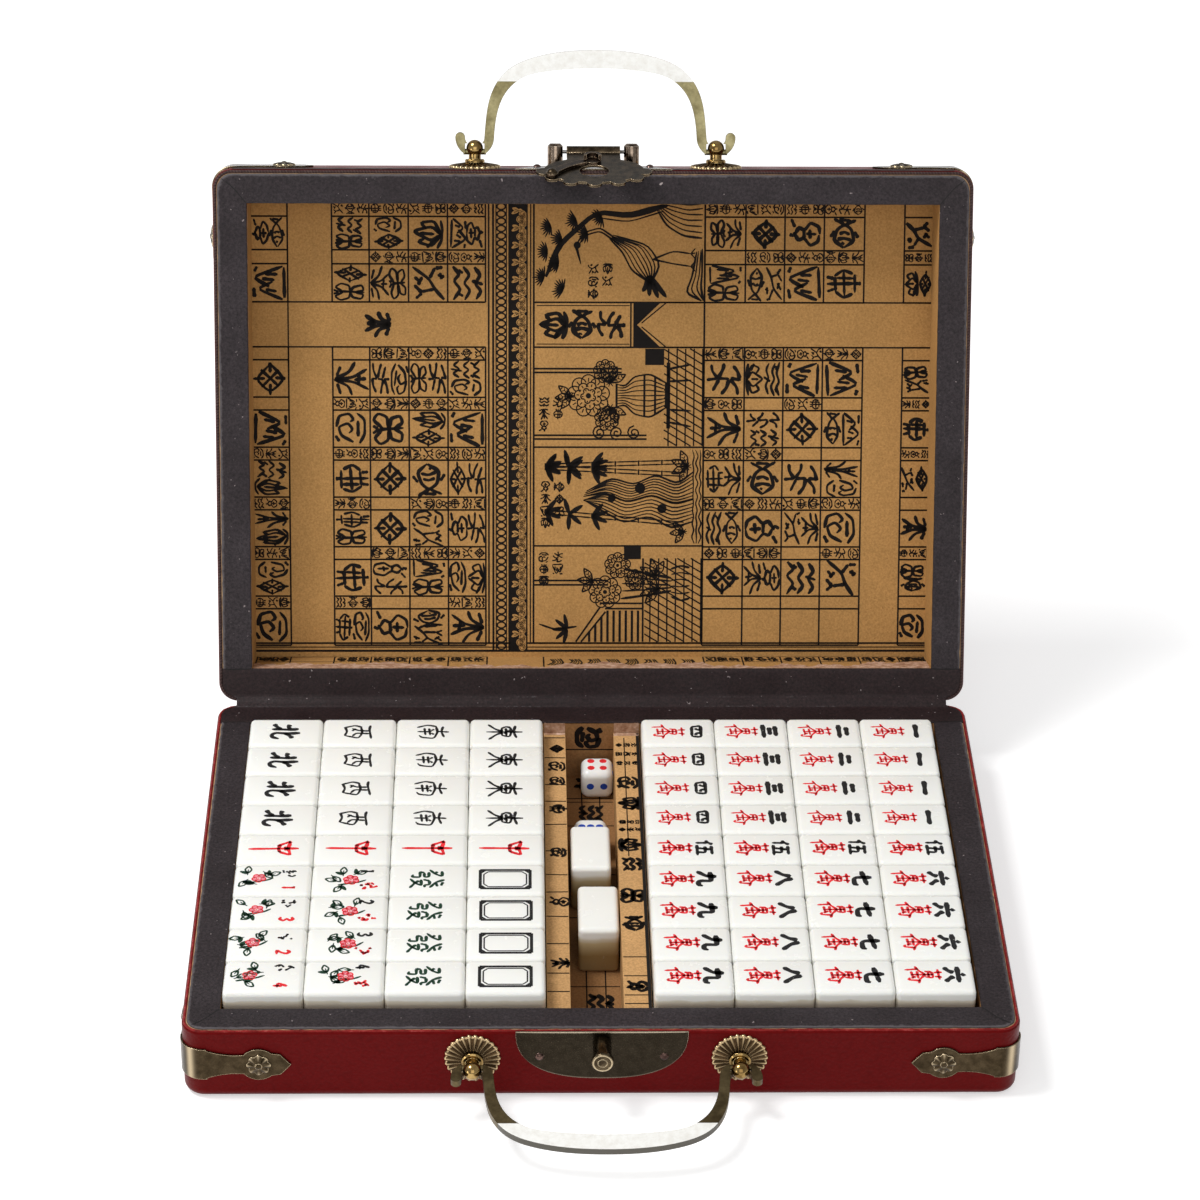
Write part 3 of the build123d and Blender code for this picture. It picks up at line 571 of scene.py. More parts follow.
def outer_path(corner_x, corner_y, end, count):
    """Edging outline from the middle of a corner's round to `end`, by arc length, as (x, y) rows.
    The round is an eighth of a circle, and then the line runs straight."""
    sx, sy = np.sign(corner_x), np.sign(corner_y)
    centre = np.array([corner_x - sx * OUTER_R, corner_y - sy * OUTER_R])
    across = abs(end[0] - centre[0]) > abs(end[1] - centre[1])
    angle = np.linspace(math.pi / 4, math.pi / 2 if across else 0.0, 9)
    bend = centre + OUTER_R * np.stack([sx * np.cos(angle), sy * np.sin(angle)], -1)
    return evenly(np.vstack([bend, end]), count)[0]


ACROSS = np.array([0.0, 0.0, 0.012, 0.05, 0.16, 0.35, 0.55, 0.75, 0.9, 0.965, 0.99, 1.0, 1.0])
# Sheen across the strip, strongest at the outer edge: a painted highlight, and wear.
EDGING_SHEEN_AND_WEAR = np.array([0.0, 0.2, 0.3, 0.15, 0.0, 0.0, 0.0, 0.0, 0.35, 0.8, 1.0, 0.9, 0.2])
DROP = np.array([1.0, 0.45, 0.12, 0.0, 0.0, 0.0, 0.0, 0.0, 0.0, 0.02, 0.25, 0.6, 1.0]) * BAND


def band(half, place, rim, inner, outer, seed):
    """A pared leather strip: rows run along it, columns cross it from the inner edge to the outer edge.
    The edges drop to the board, the outer cut is ragged, and the top is slightly uneven."""
    count = len(inner)
    run = np.arange(count) * 1.3
    ragged = 0.16 * wobble(run * 3, seed) + rng.normal(0, 0.06, count)
    inward = (inner - outer) / np.linalg.norm(inner - outer, axis=1)[:, None]
    outer = outer + inward * (0.16 + np.abs(ragged))[:, None]
    inner = inner - inward * (0.05 * (1 + wobble(run * 2, seed + 1)))[:, None]
    flat = inner[:, None, :] + (outer - inner)[:, None, :] * ACROSS[None, :, None]
    sag = 0.035 * (1 + wobble(run[:, None] * 0.4 + ACROSS[None] * 9, seed + 2)) * (DROP[None] == 0)
    skin = Skin()
    skin.grid(rim.at(flat[..., 0], flat[..., 1], -DROP[None] - sag), rub=EDGING_SHEEN_AND_WEAR[None] + 0 * sag)
    skin.piece(f"{half}_edging_{place}", EDGE, half, (f"{half}_band_{place}",), "edge_leather", facing=rim.z,
        crease=50)


def lerp_rows(a, b, count):
    return np.linspace(0, 1, count)[:, None] * (np.array(b, float) - a) + a


def edging(half, rim, left, seed):
    """Front, left and right strips of one half; `left` is the side of x that is on the left."""
    front_half = outer_path(-OUTER_X, -OUTER_Y, (0, -OUTER_Y), 90)
    outer = np.vstack([front_half, front_half[::-1][1:] * (-1, 1)])
    inner = lerp_rows((-INNER_X, -INNER_Y), (INNER_X, -INNER_Y), len(outer))
    band(half, "front", rim, inner, outer, seed)
    for word, side in (("left", left), ("right", -left)):
        outer = outer_path(side * OUTER_X, -OUTER_Y, (side * OUTER_X, INNER_Y), 120)
        inner = lerp_rows((side * INNER_X, -INNER_Y), (side * INNER_X, INNER_Y), 120)
        band(half, word, rim, inner, outer, seed + 7 * left + len(word))


edging("base", BASE_RIM, -1, 11)
edging("lid", LID_RIM, 1, 31)


def rim_route(inset, count):
    """Rounded rectangle `inset` inside the outline: its points, their distance along it and the outward
    directions."""
    x, y, r = WIDTH / 2 - inset, DEPTH / 2 - inset, CORNER - inset
    arc = np.linspace(0, math.pi / 2, 13)
    corners = [(x - r, y - r, 0), (r - x, y - r, 1), (r - x, r - y, 2), (x - r, r - y, 3)]
    turns = [(cx, cy, arc + quarter * math.pi / 2) for cx, cy, quarter in corners]
    bends = [np.stack([cx + r * np.cos(turn), cy + r * np.sin(turn)], -1) for cx, cy, turn in turns]
    line, at = evenly(np.vstack(bends + [bends[0][:1]]), count, False)
    ahead = np.roll(line, -1, axis=0) - np.roll(line, 1, axis=0)
    ahead /= np.linalg.norm(ahead, axis=1)[:, None]
    return line, at, np.stack([ahead[:, 1], -ahead[:, 0]], -1)


# Pitch of the whipped thread, and how far the bead stands inside the outline and below the rim.
THREAD, BEAD_INSET, BEAD_DROP = 0.95, 0.72, 0.56


def turned_edge(half, rim, material, seed, whipped):
    """Bead round the outside of a rim: a small round section carried along the outline.  Pared leather
    varies in size along the way; whipped thread has a raised turn every 0.95 mm, leaning round the section."""
    line, at, outward = rim_route(BEAD_INSET, 3000 if whipped else 1500)
    turn = np.linspace(0, TURN, 13 if whipped else 9)[:-1]
    coil = 0.0
    if whipped:
        coil = 0.5 + 0.5 * np.cos(at[:, None] * TURN / THREAD + turn[None])
        size = 0.44 + 0.07 * coil
    else:
        size = 0.5 * (0.78 + 0.11 * wobble(at * 4.2, seed) + rng.uniform(-0.08, 0.08, len(at)))[:, None]
    reach = size * np.cos(turn)[None]
    lift = -BEAD_DROP + size * np.sin(turn)[None]
    flat = line[:, None, :] + outward[:, None, :] * reach[..., None]
    points = rim.at(flat[..., 0], flat[..., 1], lift)
    skin = Skin()
    coil = np.broadcast_to(coil, reach.shape)
    # The raised turns carry a painted highlight.
    skin.grid(np.concatenate([points, points[:1]]), ring=True, rub=np.concatenate([coil, coil[:1]]) ** 2)
    skin.piece(f"{half}_turned_edge", material, half, slot="red_leather", crease=60)


turned_edge("base", BASE_RIM, TURNED, 51, False)
turned_edge("lid", LID_RIM, CORD, 61, True)


def whipped_border():
    """Whipping that runs down the lid's front face from its rim: slanted ribs, one every 0.95 mm."""
    front = LID_RIM.front()
    x = np.arange(CORNER - WIDTH / 2, WIDTH / 2 - CORNER, 0.12)
    y = np.array([-0.7, -0.9, -1.5, -2.1, -2.7, -3.3, -3.9, -4.5, -5.1, -5.7, -6.3, -6.9, -7.0])[:, None]
    rib = 0.5 + 0.5 * np.cos((x[None] + 0.55 * y) * TURN / THREAD)
    rib = rib * (0.75 + 0.25 * wobble(x[None] * 0.6, 8))
    inside = (y < -0.7) & (y > -7.0)
    skin = Skin()
    # The raised ribs carry a painted highlight.
    skin.grid(front.at(x[None] + 0 * y, y + 0 * x[None], inside * (0.06 + 0.10 * rib)), rub=inside * rib**2)
    skin.piece("lid_whipped_border", CORD, "lid", slot="red_leather", facing=front.z)


whipped_border()


def seams(half, rim):
    """Dark butt seams of the edging: across the two front corners, and where it meets the hinge strip."""
    pen = Pen(Skin(), rim)
    reach = OUTER_R * (1 - math.sqrt(0.5)) + 0.3
    for side in (-1, 1):
        corner = [(side * (INNER_X + 0.2), -INNER_Y - 0.2), (side * (OUTER_X - 5.0), -OUTER_Y + 4.2),
            (side * (OUTER_X - reach), -OUTER_Y + reach)]
        ribbon(pen, corner, 0.34, 0.0, SEAM_CUT)
        back = [(side * (INNER_X + 0.1), INNER_Y), (side * (OUTER_X - 4), INNER_Y + 0.3),
            (side * (OUTER_X - 0.4), INNER_Y + 0.1)]
        ribbon(pen, back, 0.30, 0.0, SEAM_CUT)
    pen.skin.piece(f"{half}_edging_seams", SEAM, half, slot="edge_leather", facing=rim.z)


def hinge_strip():
    """One leather strip over the crease: flat on the base's back rim, turned up through the open angle on
    a small round, then flat on the lid's rim.  Its ends follow both halves' corner rounds."""
    base_y = np.concatenate([[INNER_Y, INNER_Y], np.linspace(INNER_Y + 0.25, OUTER_Y - 0.15, 9)])
    base_drop = np.concatenate([[BAND, 0.15], np.zeros(9)])
    base_points = np.stack([base_y, RIM - base_drop], -1)
    lid_in = LID_RIM.at(0, base_y[::-1], -base_drop[::-1])[:, 1:]
    start, finish = base_points[-1], lid_in[0]
    knee = HINGE_AT[1:] + (-0.76, 1.28)
    t = np.linspace(0, 1, 9)[1:-1, None]
    crease = (1 - t) ** 2 * start + 2 * t * (1 - t) * knee + t**2 * finish
    line = np.vstack([base_points, crease, lid_in])
    beyond = np.concatenate([base_y - (OUTER_Y - OUTER_R), np.full(len(crease), OUTER_R - 0.1),
        base_y[::-1] - (OUTER_Y - OUTER_R)])
    beyond = np.clip(beyond, 0, OUTER_R)
    half_width = OUTER_X - OUTER_R + np.sqrt(np.maximum(OUTER_R**2 - beyond**2, 0.04))
    half_width[len(base_y):len(base_y) + len(crease)] = OUTER_X - OUTER_R + 0.4
    s = np.linspace(-1, 1, 241)
    x = half_width[:, None] * s[None]
    lift = np.zeros((len(line), len(s)))
    lift[2:-2] = 0.05 * wobble(x[2:-2] * 0.7 + np.arange(len(line) - 4)[:, None] * 1.4, 5)
    lift -= 0.05
    lean = t[:, 0] * OPEN * 0.55
    normal = np.vstack([np.tile([0, 1.0], (len(base_y), 1)), np.stack([-np.sin(lean), np.cos(lean)], -1),
        np.tile(OUT[1:], (len(base_y), 1))])
    y = line[:, None, 0] + lift * normal[:, None, 0]
    z = line[:, None, 1] + lift * normal[:, None, 1]
    skin = Skin()
    # Painted highlight along the two folds of the crease.
    fold_highlight = np.zeros((len(line), 1))
    fold_highlight[10] = 0.52
    fold_highlight[-11] = 0.42
    skin.grid(np.stack([x, y, z], -1), rub=fold_highlight * (0.8 + 0.25 * wobble(s[None] * 40, 7)))
    return skin.piece("hinge_strip", HINGE_LEATHER, None, ("hinge_strip_base", "hinge_strip_lid"), "edge_leather",
        facing=(0, -0.5, 1), crease=60)


strip = hinge_strip()
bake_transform(strip)


# ------------------------------------------------------------------ brush strokes
# Widths of a stroke at its start, head, waist, foot and tip, as shares of its full width.
BRUSH, EVEN, SEAM_CUT = (0.6, 1.15, 0.75, 1.0, 0.4), (1, 1, 1, 1, 1), (0.6, 1, 0.8, 1.1, 0.5)
BLADE, PETAL, OPEN_PETAL = (0.2, 0.9, 1.3, 0.8, 0.1), (0.3, 1.1, 1.2, 0.7, 0.1), (0.3, 1.0, 1.2, 0.7, 0.1)


def ribbon(pen, points, width, lift=0.03, profile=BRUSH):
    """A flat brush stroke along a line of (x, y) points: resampled evenly, softened at its corners, and as
    wide as the profile says at its start, head, waist, foot and tip."""
    line, at = evenly(np.asarray(points, float), 4 * (len(points) - 1) + 2)
    line[1:-1] = 0.25 * line[:-2] + 0.5 * line[1:-1] + 0.25 * line[2:]
    ahead = np.gradient(line, axis=0)
    ahead /= np.linalg.norm(ahead, axis=1)[:, None] + 1e-9
    half = 0.5 * width * np.interp(at / at[-1], (0, 0.12, 0.5, 0.88, 1), profile)
    side = np.stack([-ahead[:, 1], ahead[:, 0]], -1) * half[:, None]
    both = np.stack([line - side, line + side], 1)
    pen.grid(both[..., 0], both[..., 1], lift)


def rule(pen, start, end, width, lift=0.025):
    """A printed rule: a plain strip that wavers slightly."""
    ribbon(pen, [start, end], width, lift, EVEN)


seams("base", BASE_RIM)
seams("lid", LID_RIM)


def blade(pen, root, ahead, width, profile=BLADE):
    """A slender leaf or petal from its root."""
    root = np.array(root)
    ribbon(pen, [root, root + ahead * 0.5, root + ahead], width, profile=profile)


def disc(pen, x, y, radius, lift=0.03, sides=14, start=0.0, sweep=TURN):
    """A flat disc or sector: rings at the centre and at the radius."""
    turn = np.linspace(start, start + sweep, sides + 1)
    r = np.array([[0.0], [1.0]]) * radius
    pen.grid(x + r * np.cos(turn), y + r * np.sin(turn), lift)


def ring(pen, x, y, outer, inner, lift=0.03, sides=18, start=0.0, sweep=TURN, squash=1.0):
    """A flat ring or arc between two radii."""
    turn = np.linspace(start, start + sweep, sides + 1)
    r = np.array([[inner], [outer]])
    pen.grid(x + r * np.cos(turn), y + squash * r * np.sin(turn), lift)


# Strokes of each mark on a square of 100 by 100, in brush order; each runs x, y, x, y and so on.
MARKS = {
    "north": [(34, 96, 39, 68, 35, 6), (6, 66, 22, 60, 36, 69), (2, 12, 20, 22, 36, 38),
        (60, 102, 64, 60, 59, 22, 69, 6, 88, 9, 98, 32), (94, 78, 76, 66, 62, 50)],
    "west": [(8, 94, 30, 90, 94, 98), (20, 66, 8, 42, 24, 4), (20, 62, 54, 68, 92, 56, 74, 9),
        (44, 90, 42, 56, 28, 32), (62, 92, 58, 46, 78, 34), (22, 9, 48, 16, 76, 8), (30, 46, 44, 32)],
    "south": [(16, 86, 50, 80, 86, 90), (52, 106, 48, 64), (16, 64, 6, 34, 22, -2),
        (16, 62, 52, 68, 94, 56, 86, 12, 72, 6), (34, 56, 43, 46), (68, 56, 59, 47), (28, 39, 72, 43),
        (26, 23, 72, 27), (50, 48, 49, 0)],
    "east": [(10, 84, 50, 78, 90, 88), (51, 108, 50, -14), (22, 68, 16, 52, 29, 36), (22, 67, 50, 71, 82, 65, 72, 37),
        (26, 52, 74, 54), (29, 38, 72, 39), (48, 40, 30, 14, 2, -8), (52, 40, 72, 16, 100, -6), (39, 64, 62, 46)],
    "centre": [(14, 76, 4, 86, 24, 50, 34, 36), (10, 82, 50, 74, 92, 84, 76, 52, 66, 38), (26, 46, 50, 40, 74, 46),
        (50, 112, 50, 10, 50, -66), (36, 66, 64, 66)],
    "fortune": [(12, 91, 39, 92, 26, 72, 4, 56), (14, 78, 26, 70), (56, 98, 68, 74, 96, 56), (68, 94, 86, 88),
        (72, 74, 90, 78), (16, 54, 41, 54, 41, 41, 18, 41), (18, 41, 16, 29, 42, 29, 40, 6, 28, 10), (61, 56, 54, 38),
        (61, 56, 80, 56, 82, 42, 94, 42), (54, 32, 85, 33, 70, 14, 49, 1), (59, 26, 74, 13, 96, 0)],
    "myriad": [(20, 93, 80, 96), (37, 106, 39, 80), (65, 104, 61, 82), (34, 74, 32, 52), (34, 74, 69, 77, 63, 52),
        (35, 63, 64, 64), (50, 78, 50, 8), (50, 54, 26, 34, 2, 24), (50, 54, 74, 36, 99, 30), (18, 34, 22, -8),
        (84, 36, 79, -2, 67, 6), (30, 29, 72, 31), (31, 11, 69, 15), (60, 24, 71, 9)],
    "one": [(3, 48, 14, 54, 86, 50, 97, 56)],
    "two": [(20, 74, 80, 78), (4, 24, 96, 27)],
    "three": [(15, 86, 85, 89), (24, 52, 76, 54), (4, 14, 96, 17)],
    "four": [(10, 84, 18, 16), (10, 83, 90, 86, 82, 16), (18, 20, 82, 20), (39, 82, 37, 58, 28, 42),
        (60, 82, 61, 52, 76, 46)],
    "five": [(29, 99, 19, 76, 4, 58), (19, 72, 19, 2), (38, 91, 93, 94), (62, 91, 52, 10), (42, 55, 82, 56, 77, 10),
        (32, 9, 99, 11)],
    "six": [(45, 100, 56, 84), (4, 67, 96, 71), (39, 49, 28, 24, 8, 4), (60, 49, 74, 26, 92, 6)],
    "seven": [(6, 50, 94, 72), (45, 98, 45, 24, 54, 10, 88, 11, 93, 30)],
    "eight": [(39, 84, 29, 44, 5, 6), (52, 92, 64, 50, 96, 6)],
    "nine": [(8, 69, 65, 73, 63, 19, 72, 8, 90, 10, 95, 30), (37, 100, 34, 50, 4, 4)],
    "digit_1": [(40, 78, 56, 94, 54, 8)],
    "digit_2": [(18, 74, 46, 94, 76, 72, 54, 38, 18, 12, 84, 12)],
    "digit_3": [(18, 84, 56, 94, 74, 72, 42, 54, 79, 34, 54, 8, 16, 18)],
    "digit_4": [(62, 94, 16, 34, 86, 34), (62, 64, 62, 6)],
}


def mark(pen, name, x, y, high, wide, stroke):
    """Draws a mark centred at (x, y), its top towards +x of the plane, as the tiles are laid."""
    tilt = rng.normal(0, 0.015)
    for line in MARKS[name]:
        p = np.reshape(line, (-1, 2)) / 10 - 5.0
        up, right = p[:, 1] * high / 10, p[:, 0] * wide / 10
        px = up * math.cos(tilt) + right * math.sin(tilt)
        py = up * math.sin(tilt) - right * math.cos(tilt)
        ribbon(pen, np.stack([x + px, y + py], -1), stroke)


# ------------------------------------------------------------------ tiles, blanks and dice
TILE = np.array([22.65, 15.55, 12.0])
TILE_GAP, TILE_ROUND, ROWS = 0.1, 1.5, 9


def rounded_box(skin, low, high, radius, steps=3):
    """Box with rolled edges: each level is a rounded rectangle that is drawn in by radius * (1 - cos) where
    the edge has turned, and the levels climb by radius * sin."""
    low, high = np.asarray(low, float), np.asarray(high, float)
    centre, half = (low + high) / 2, (high - low) / 2 - radius
    quarter = np.linspace(0, math.pi / 2, steps + 1)
    turn = (np.arange(4)[:, None] * math.pi / 2 + quarter).ravel()
    sx = np.repeat([1, -1, -1, 1], steps + 1)
    sy = np.repeat([1, 1, -1, -1], steps + 1)
    tilt = np.concatenate([-quarter[::-1], quarter])[:, None]
    level = np.repeat([-1, 1], steps + 1)[:, None]
    x = centre[0] + sx * half[0] + radius * np.cos(tilt) * np.cos(turn)
    y = centre[1] + sy * half[1] + radius * np.cos(tilt) * np.sin(turn)
    z = centre[2] + level * half[2] + radius * np.sin(tilt)
    skin.grid(np.stack([x, y, z + 0 * x], -1), ring=True, ends=True)


def tile_column(node, top, marks):
    """Nine tiles in a column; `marks` draws on the top of each one."""
    low, high = box(node)
    skin = Skin()
    inks = {word: Skin() for word in ("black", "red", "green", "pink")}
    for column in range(round((high[0] - low[0]) / (TILE[0] + TILE_GAP))):
        x = low[0] + column * (TILE[0] + TILE_GAP)
        for row in range(ROWS):
            y = low[1] + row * (TILE[1] + TILE_GAP)
            corner = np.array([x, y, low[2]])
            rounded_box(skin, corner, corner + TILE, TILE_ROUND)
            if top:
                plane = Plane(corner + TILE * (0.5, 0.5, 1), RIGHT, UP)
                spot = plane.moved(*rng.normal(0, 0.12, 2))
                marks({word: Pen(ink, spot) for word, ink in inks.items()}, ROWS - row)
    skin.piece(node + "_tiles", BLOCK_REFLECTION_IVORY if top else IVORY, body_of[node], (node,), "tile")
    for word, ink_skin in inks.items():
        if ink_skin.count:
            ink_skin.piece(f"{node}_{word}", INK[word], body_of[node], slot="tile", facing=UP)


def blossom(pens, x, y, size, petals, turn):
    """An open bloom: pink petals outlined in red round a smaller whorl and a red heart."""
    for k in range(petals):
        a = turn + k * TURN / petals
        px, py = around(x, y, 0.60 * size, a)
        disc(pens["pink"], px, py, 0.40 * size, 0.022, 10)
        ring(pens["red"], px, py, 0.52 * size, 0.34 * size, 0.034, 12, a - 2.1, 4.2)
    for share in (0.40, 0.16):
        ring(pens["red"], x, y, share * size, (share - 0.11) * size, 0.036, 12, turn, 5.2)


def leaf(pen, x, y, length, angle, width=0.34, plump=0.3):
    """An outlined leaf: two bowed strokes that meet at its point, and a vein."""
    ahead = toward(angle)
    across = np.array([-ahead[1], ahead[0]])
    root = np.array([x, y])
    for side in (-1, 1):
        bow = root + ahead * length * 0.5 + across * side * plump * length
        ribbon(pen, [root, bow, root + ahead * length], width * 1.25)
    ribbon(pen, [root - ahead * 0.25 * length, root + ahead * 0.55 * length], width * 0.8)


def script(pen, x, y, seed, stroke=0.5):
    """Small cursive flourish of short hooked strokes, about 4 mm across."""
    pick = np.random.default_rng(seed)
    for k in range(6):
        start = np.array([x - 1.9 + 0.72 * k, y + pick.uniform(-1.5, 1.5)])
        middle = start + pick.uniform(-0.9, 0.9, 2) + (0.5, 0)
        ribbon(pen, [start, middle, middle + pick.uniform(-1.2, 1.2, 2)], stroke)


def left_marks(column):
    """Marks of the left block, by row from the hinge: winds, red centre, then a flower, season or dragon."""
    wind = ("north", "west", "south", "east")[column]
    bold = (1.5, 0.85, 0.85, 0.95)[column]

    def spray(pens, x, y, row, size, petals, leaves):
        """A bloom on a curved stem, with outlined leaves round it and filled ones behind."""
        blossom(pens, x, y, size, petals, row)
        for k, (dx, dy) in enumerate(leaves):
            angle = 2.4 + 1.3 * k + 0.9 * row
            leaf(pens["green"], x + dx, y + dy, 3.7, angle, 0.50)
            if k % 2 == row % 2:
                blade(pens["green"], (x + dx, y + dy), toward(angle + 1.2) * 2.6, 1.15, PETAL)
        stem = [(x - 3.8, y - 2.6), (x - 1.6, y - 2.0), (x + size, y - 1.2), (x + size + 2.2, y + 0.4 * (row % 3))]
        ribbon(pens["green"], stem, 0.75)

    def draw(pens, row):
        if row <= 4:
            mark(pens["black"], wind, -0.3, 0, 9.2, 8.6, bold)
        elif row == 5:
            mark(pens["red"], "centre", 1.8, 0, 8.4, 8.0, 1.15)
        elif column == 0:
            spray(pens, -4.0, 0.6, row, 2.0, 5, ((-3.4, 2.4), (-1.2, -2.8), (-3.6, -1.2), (1.6, 2.8), (3.0, 1.4)))
            script(pens["black"], 4.9, 3.5, row, 0.75)
            mark(pens["red"], f"digit_{(1, 3, 2, 4)[row - 6]}", 4.8, -4.0, 4.6, 3.0, 1.0)
        elif column == 1:
            spray(pens, 0.4, -0.2, row, 2.2, 6, ((-2.4, 2.8), (-4.2, -0.6), (-2.8, -3.0), (-5.4, 1.8), (1.4, 3.0)))
            mark(pens["black"], f"digit_{row - 5}", 5.0, 4.2, 4.6, 3.0, 0.95)
            script(pens["red"], 4.9, -3.3, row + 9, 0.95)
        elif column == 2:
            mark(pens["green"], "fortune", -0.4, 0, 10.4, 9.8, 0.98)
        else:
            frame_mark(pens["black"])

    return draw


def frame_mark(pen):
    """The blank dragon: a bold frame, a thin one inside it with slanted corners, and filled corners."""
    for half_x, half_y, width, cut in ((7.3, 4.6, 0.92, 0.0), (6.25, 3.7, 0.44, 1.3)):
        outline = [(half_x - cut, half_y), (cut - half_x, half_y), (-half_x, half_y - cut), (-half_x, cut - half_y),
            (cut - half_x, -half_y), (half_x - cut, -half_y), (half_x, cut - half_y), (half_x, half_y - cut)]
        for a, b in zip(outline, outline[1:] + outline[:1]):
            if a != b:
                rule(pen, a, b, width, 0.03)
    for sx in (-1, 1):
        for sy in (-1, 1):
            rule(pen, (sx * 7.0, sy * 3.3), (sx * 5.9, sy * 4.4), 0.75, 0.032)


def right_marks(column):
    """Marks of the right block: a red myriad with its number in black."""
    number = (("four", "five", "nine"), ("three", "five", "eight"), ("two", "five", "seven"),
        ("one", "five", "six"))[column]

    def draw(pens, row):
        word = number[0] if row <= 4 else number[1] if row == 5 else number[2]
        mark(pens["red"], "myriad", -2.9, 0.1, 9.2, 8.2, 0.74 if row <= 4 else 0.88)
        tall = {"one": 4.0, "two": 4.6, "three": 5.2, "four": 4.4, "five": 5.2}.get(word, 6.0)
        mark(pens["black"], word, 5.6, 0.1, tall, 8.0, 1.15 if word in ("four", "five") else 1.7)

    return draw


for side, marks in (("left", left_marks), ("right", right_marks)):
    tile_column(f"lower_tiles_{side}", False, None)
    for number in range(4):
        tile_column(f"tile_column_{side}_{number + 1}", True, marks(number))

for node in ("blank_tile_back", "blank_tile_front"):
    blank = Skin()
    rounded_box(blank, *box(node), TILE_ROUND, 4)
    blank.piece(node + "_tile", BROWN_REFLECTION_IVORY, body_of[node], (node,), "tile")

PIPS = {
    1: [(0, 0)], 2: [(-2.1, 0), (2.1, 0)], 3: [(-2.7, 0), (0, 0), (2.7, 0)],
    4: [(-1.9, -1.9), (1.9, -1.9), (-1.9, 1.9), (1.9, 1.9)],
    5: [(-2.2, -2.2), (2.2, -2.2), (0, 0), (-2.2, 2.2), (2.2, 2.2)],
    6: [(-2.0, -2.6), (-2.0, 0), (-2.0, 2.6), (2.0, -2.6), (2.0, 0), (2.0, 2.6)],
}


def die(node, top, front, right):
    """A die with round corners; its pips are shallow dishes of paint, opposite faces adding to seven."""
    low, high = box(node)
    centre, half = (low + high) / 2, (high - low) / 2
    skin, pips = Skin(), {"red": Skin(), "blue": Skin()}
    rounded_box(skin, low, high, 2.45, 7)
    skin.piece(node + "_body", DIE_IVORY, body_of[node], (node,), "die")
    faces = ((top, RIGHT, UP), (7 - top, (-1, 0, 0), (0, 0, -1)), (front, RIGHT, FRONT),
        (7 - front, (-1, 0, 0), (0, 1, 0)), (right, (0, 1, 0), (1, 0, 0)), (7 - right, (0, -1, 0), (-1, 0, 0)))
    for count, x, z in faces:
        plane = Plane(centre + half * z, x, z)
        for px, py in PIPS[count]:
            dish = pips["red" if count in (1, 4) else "blue"]
            reach = np.array([0.0, 0.5, 0.85, 1.0])[:, None] * (1.4 if count == 1 else 1.14)
            turn = np.linspace(0, TURN, 17)
            rise = np.array([0.012, 0.018, 0.026, 0.004])[:, None]
            dish.grid(plane.at(px + reach * np.cos(turn), py + reach * np.sin(turn), rise))
    for word, dishes in pips.items():
        dishes.piece(f"{node}_{word}_pips", INK[word], body_of[node], slot="die")


die("die_back", 4, 2, 6)
die("die_front", 3, 2, 6)

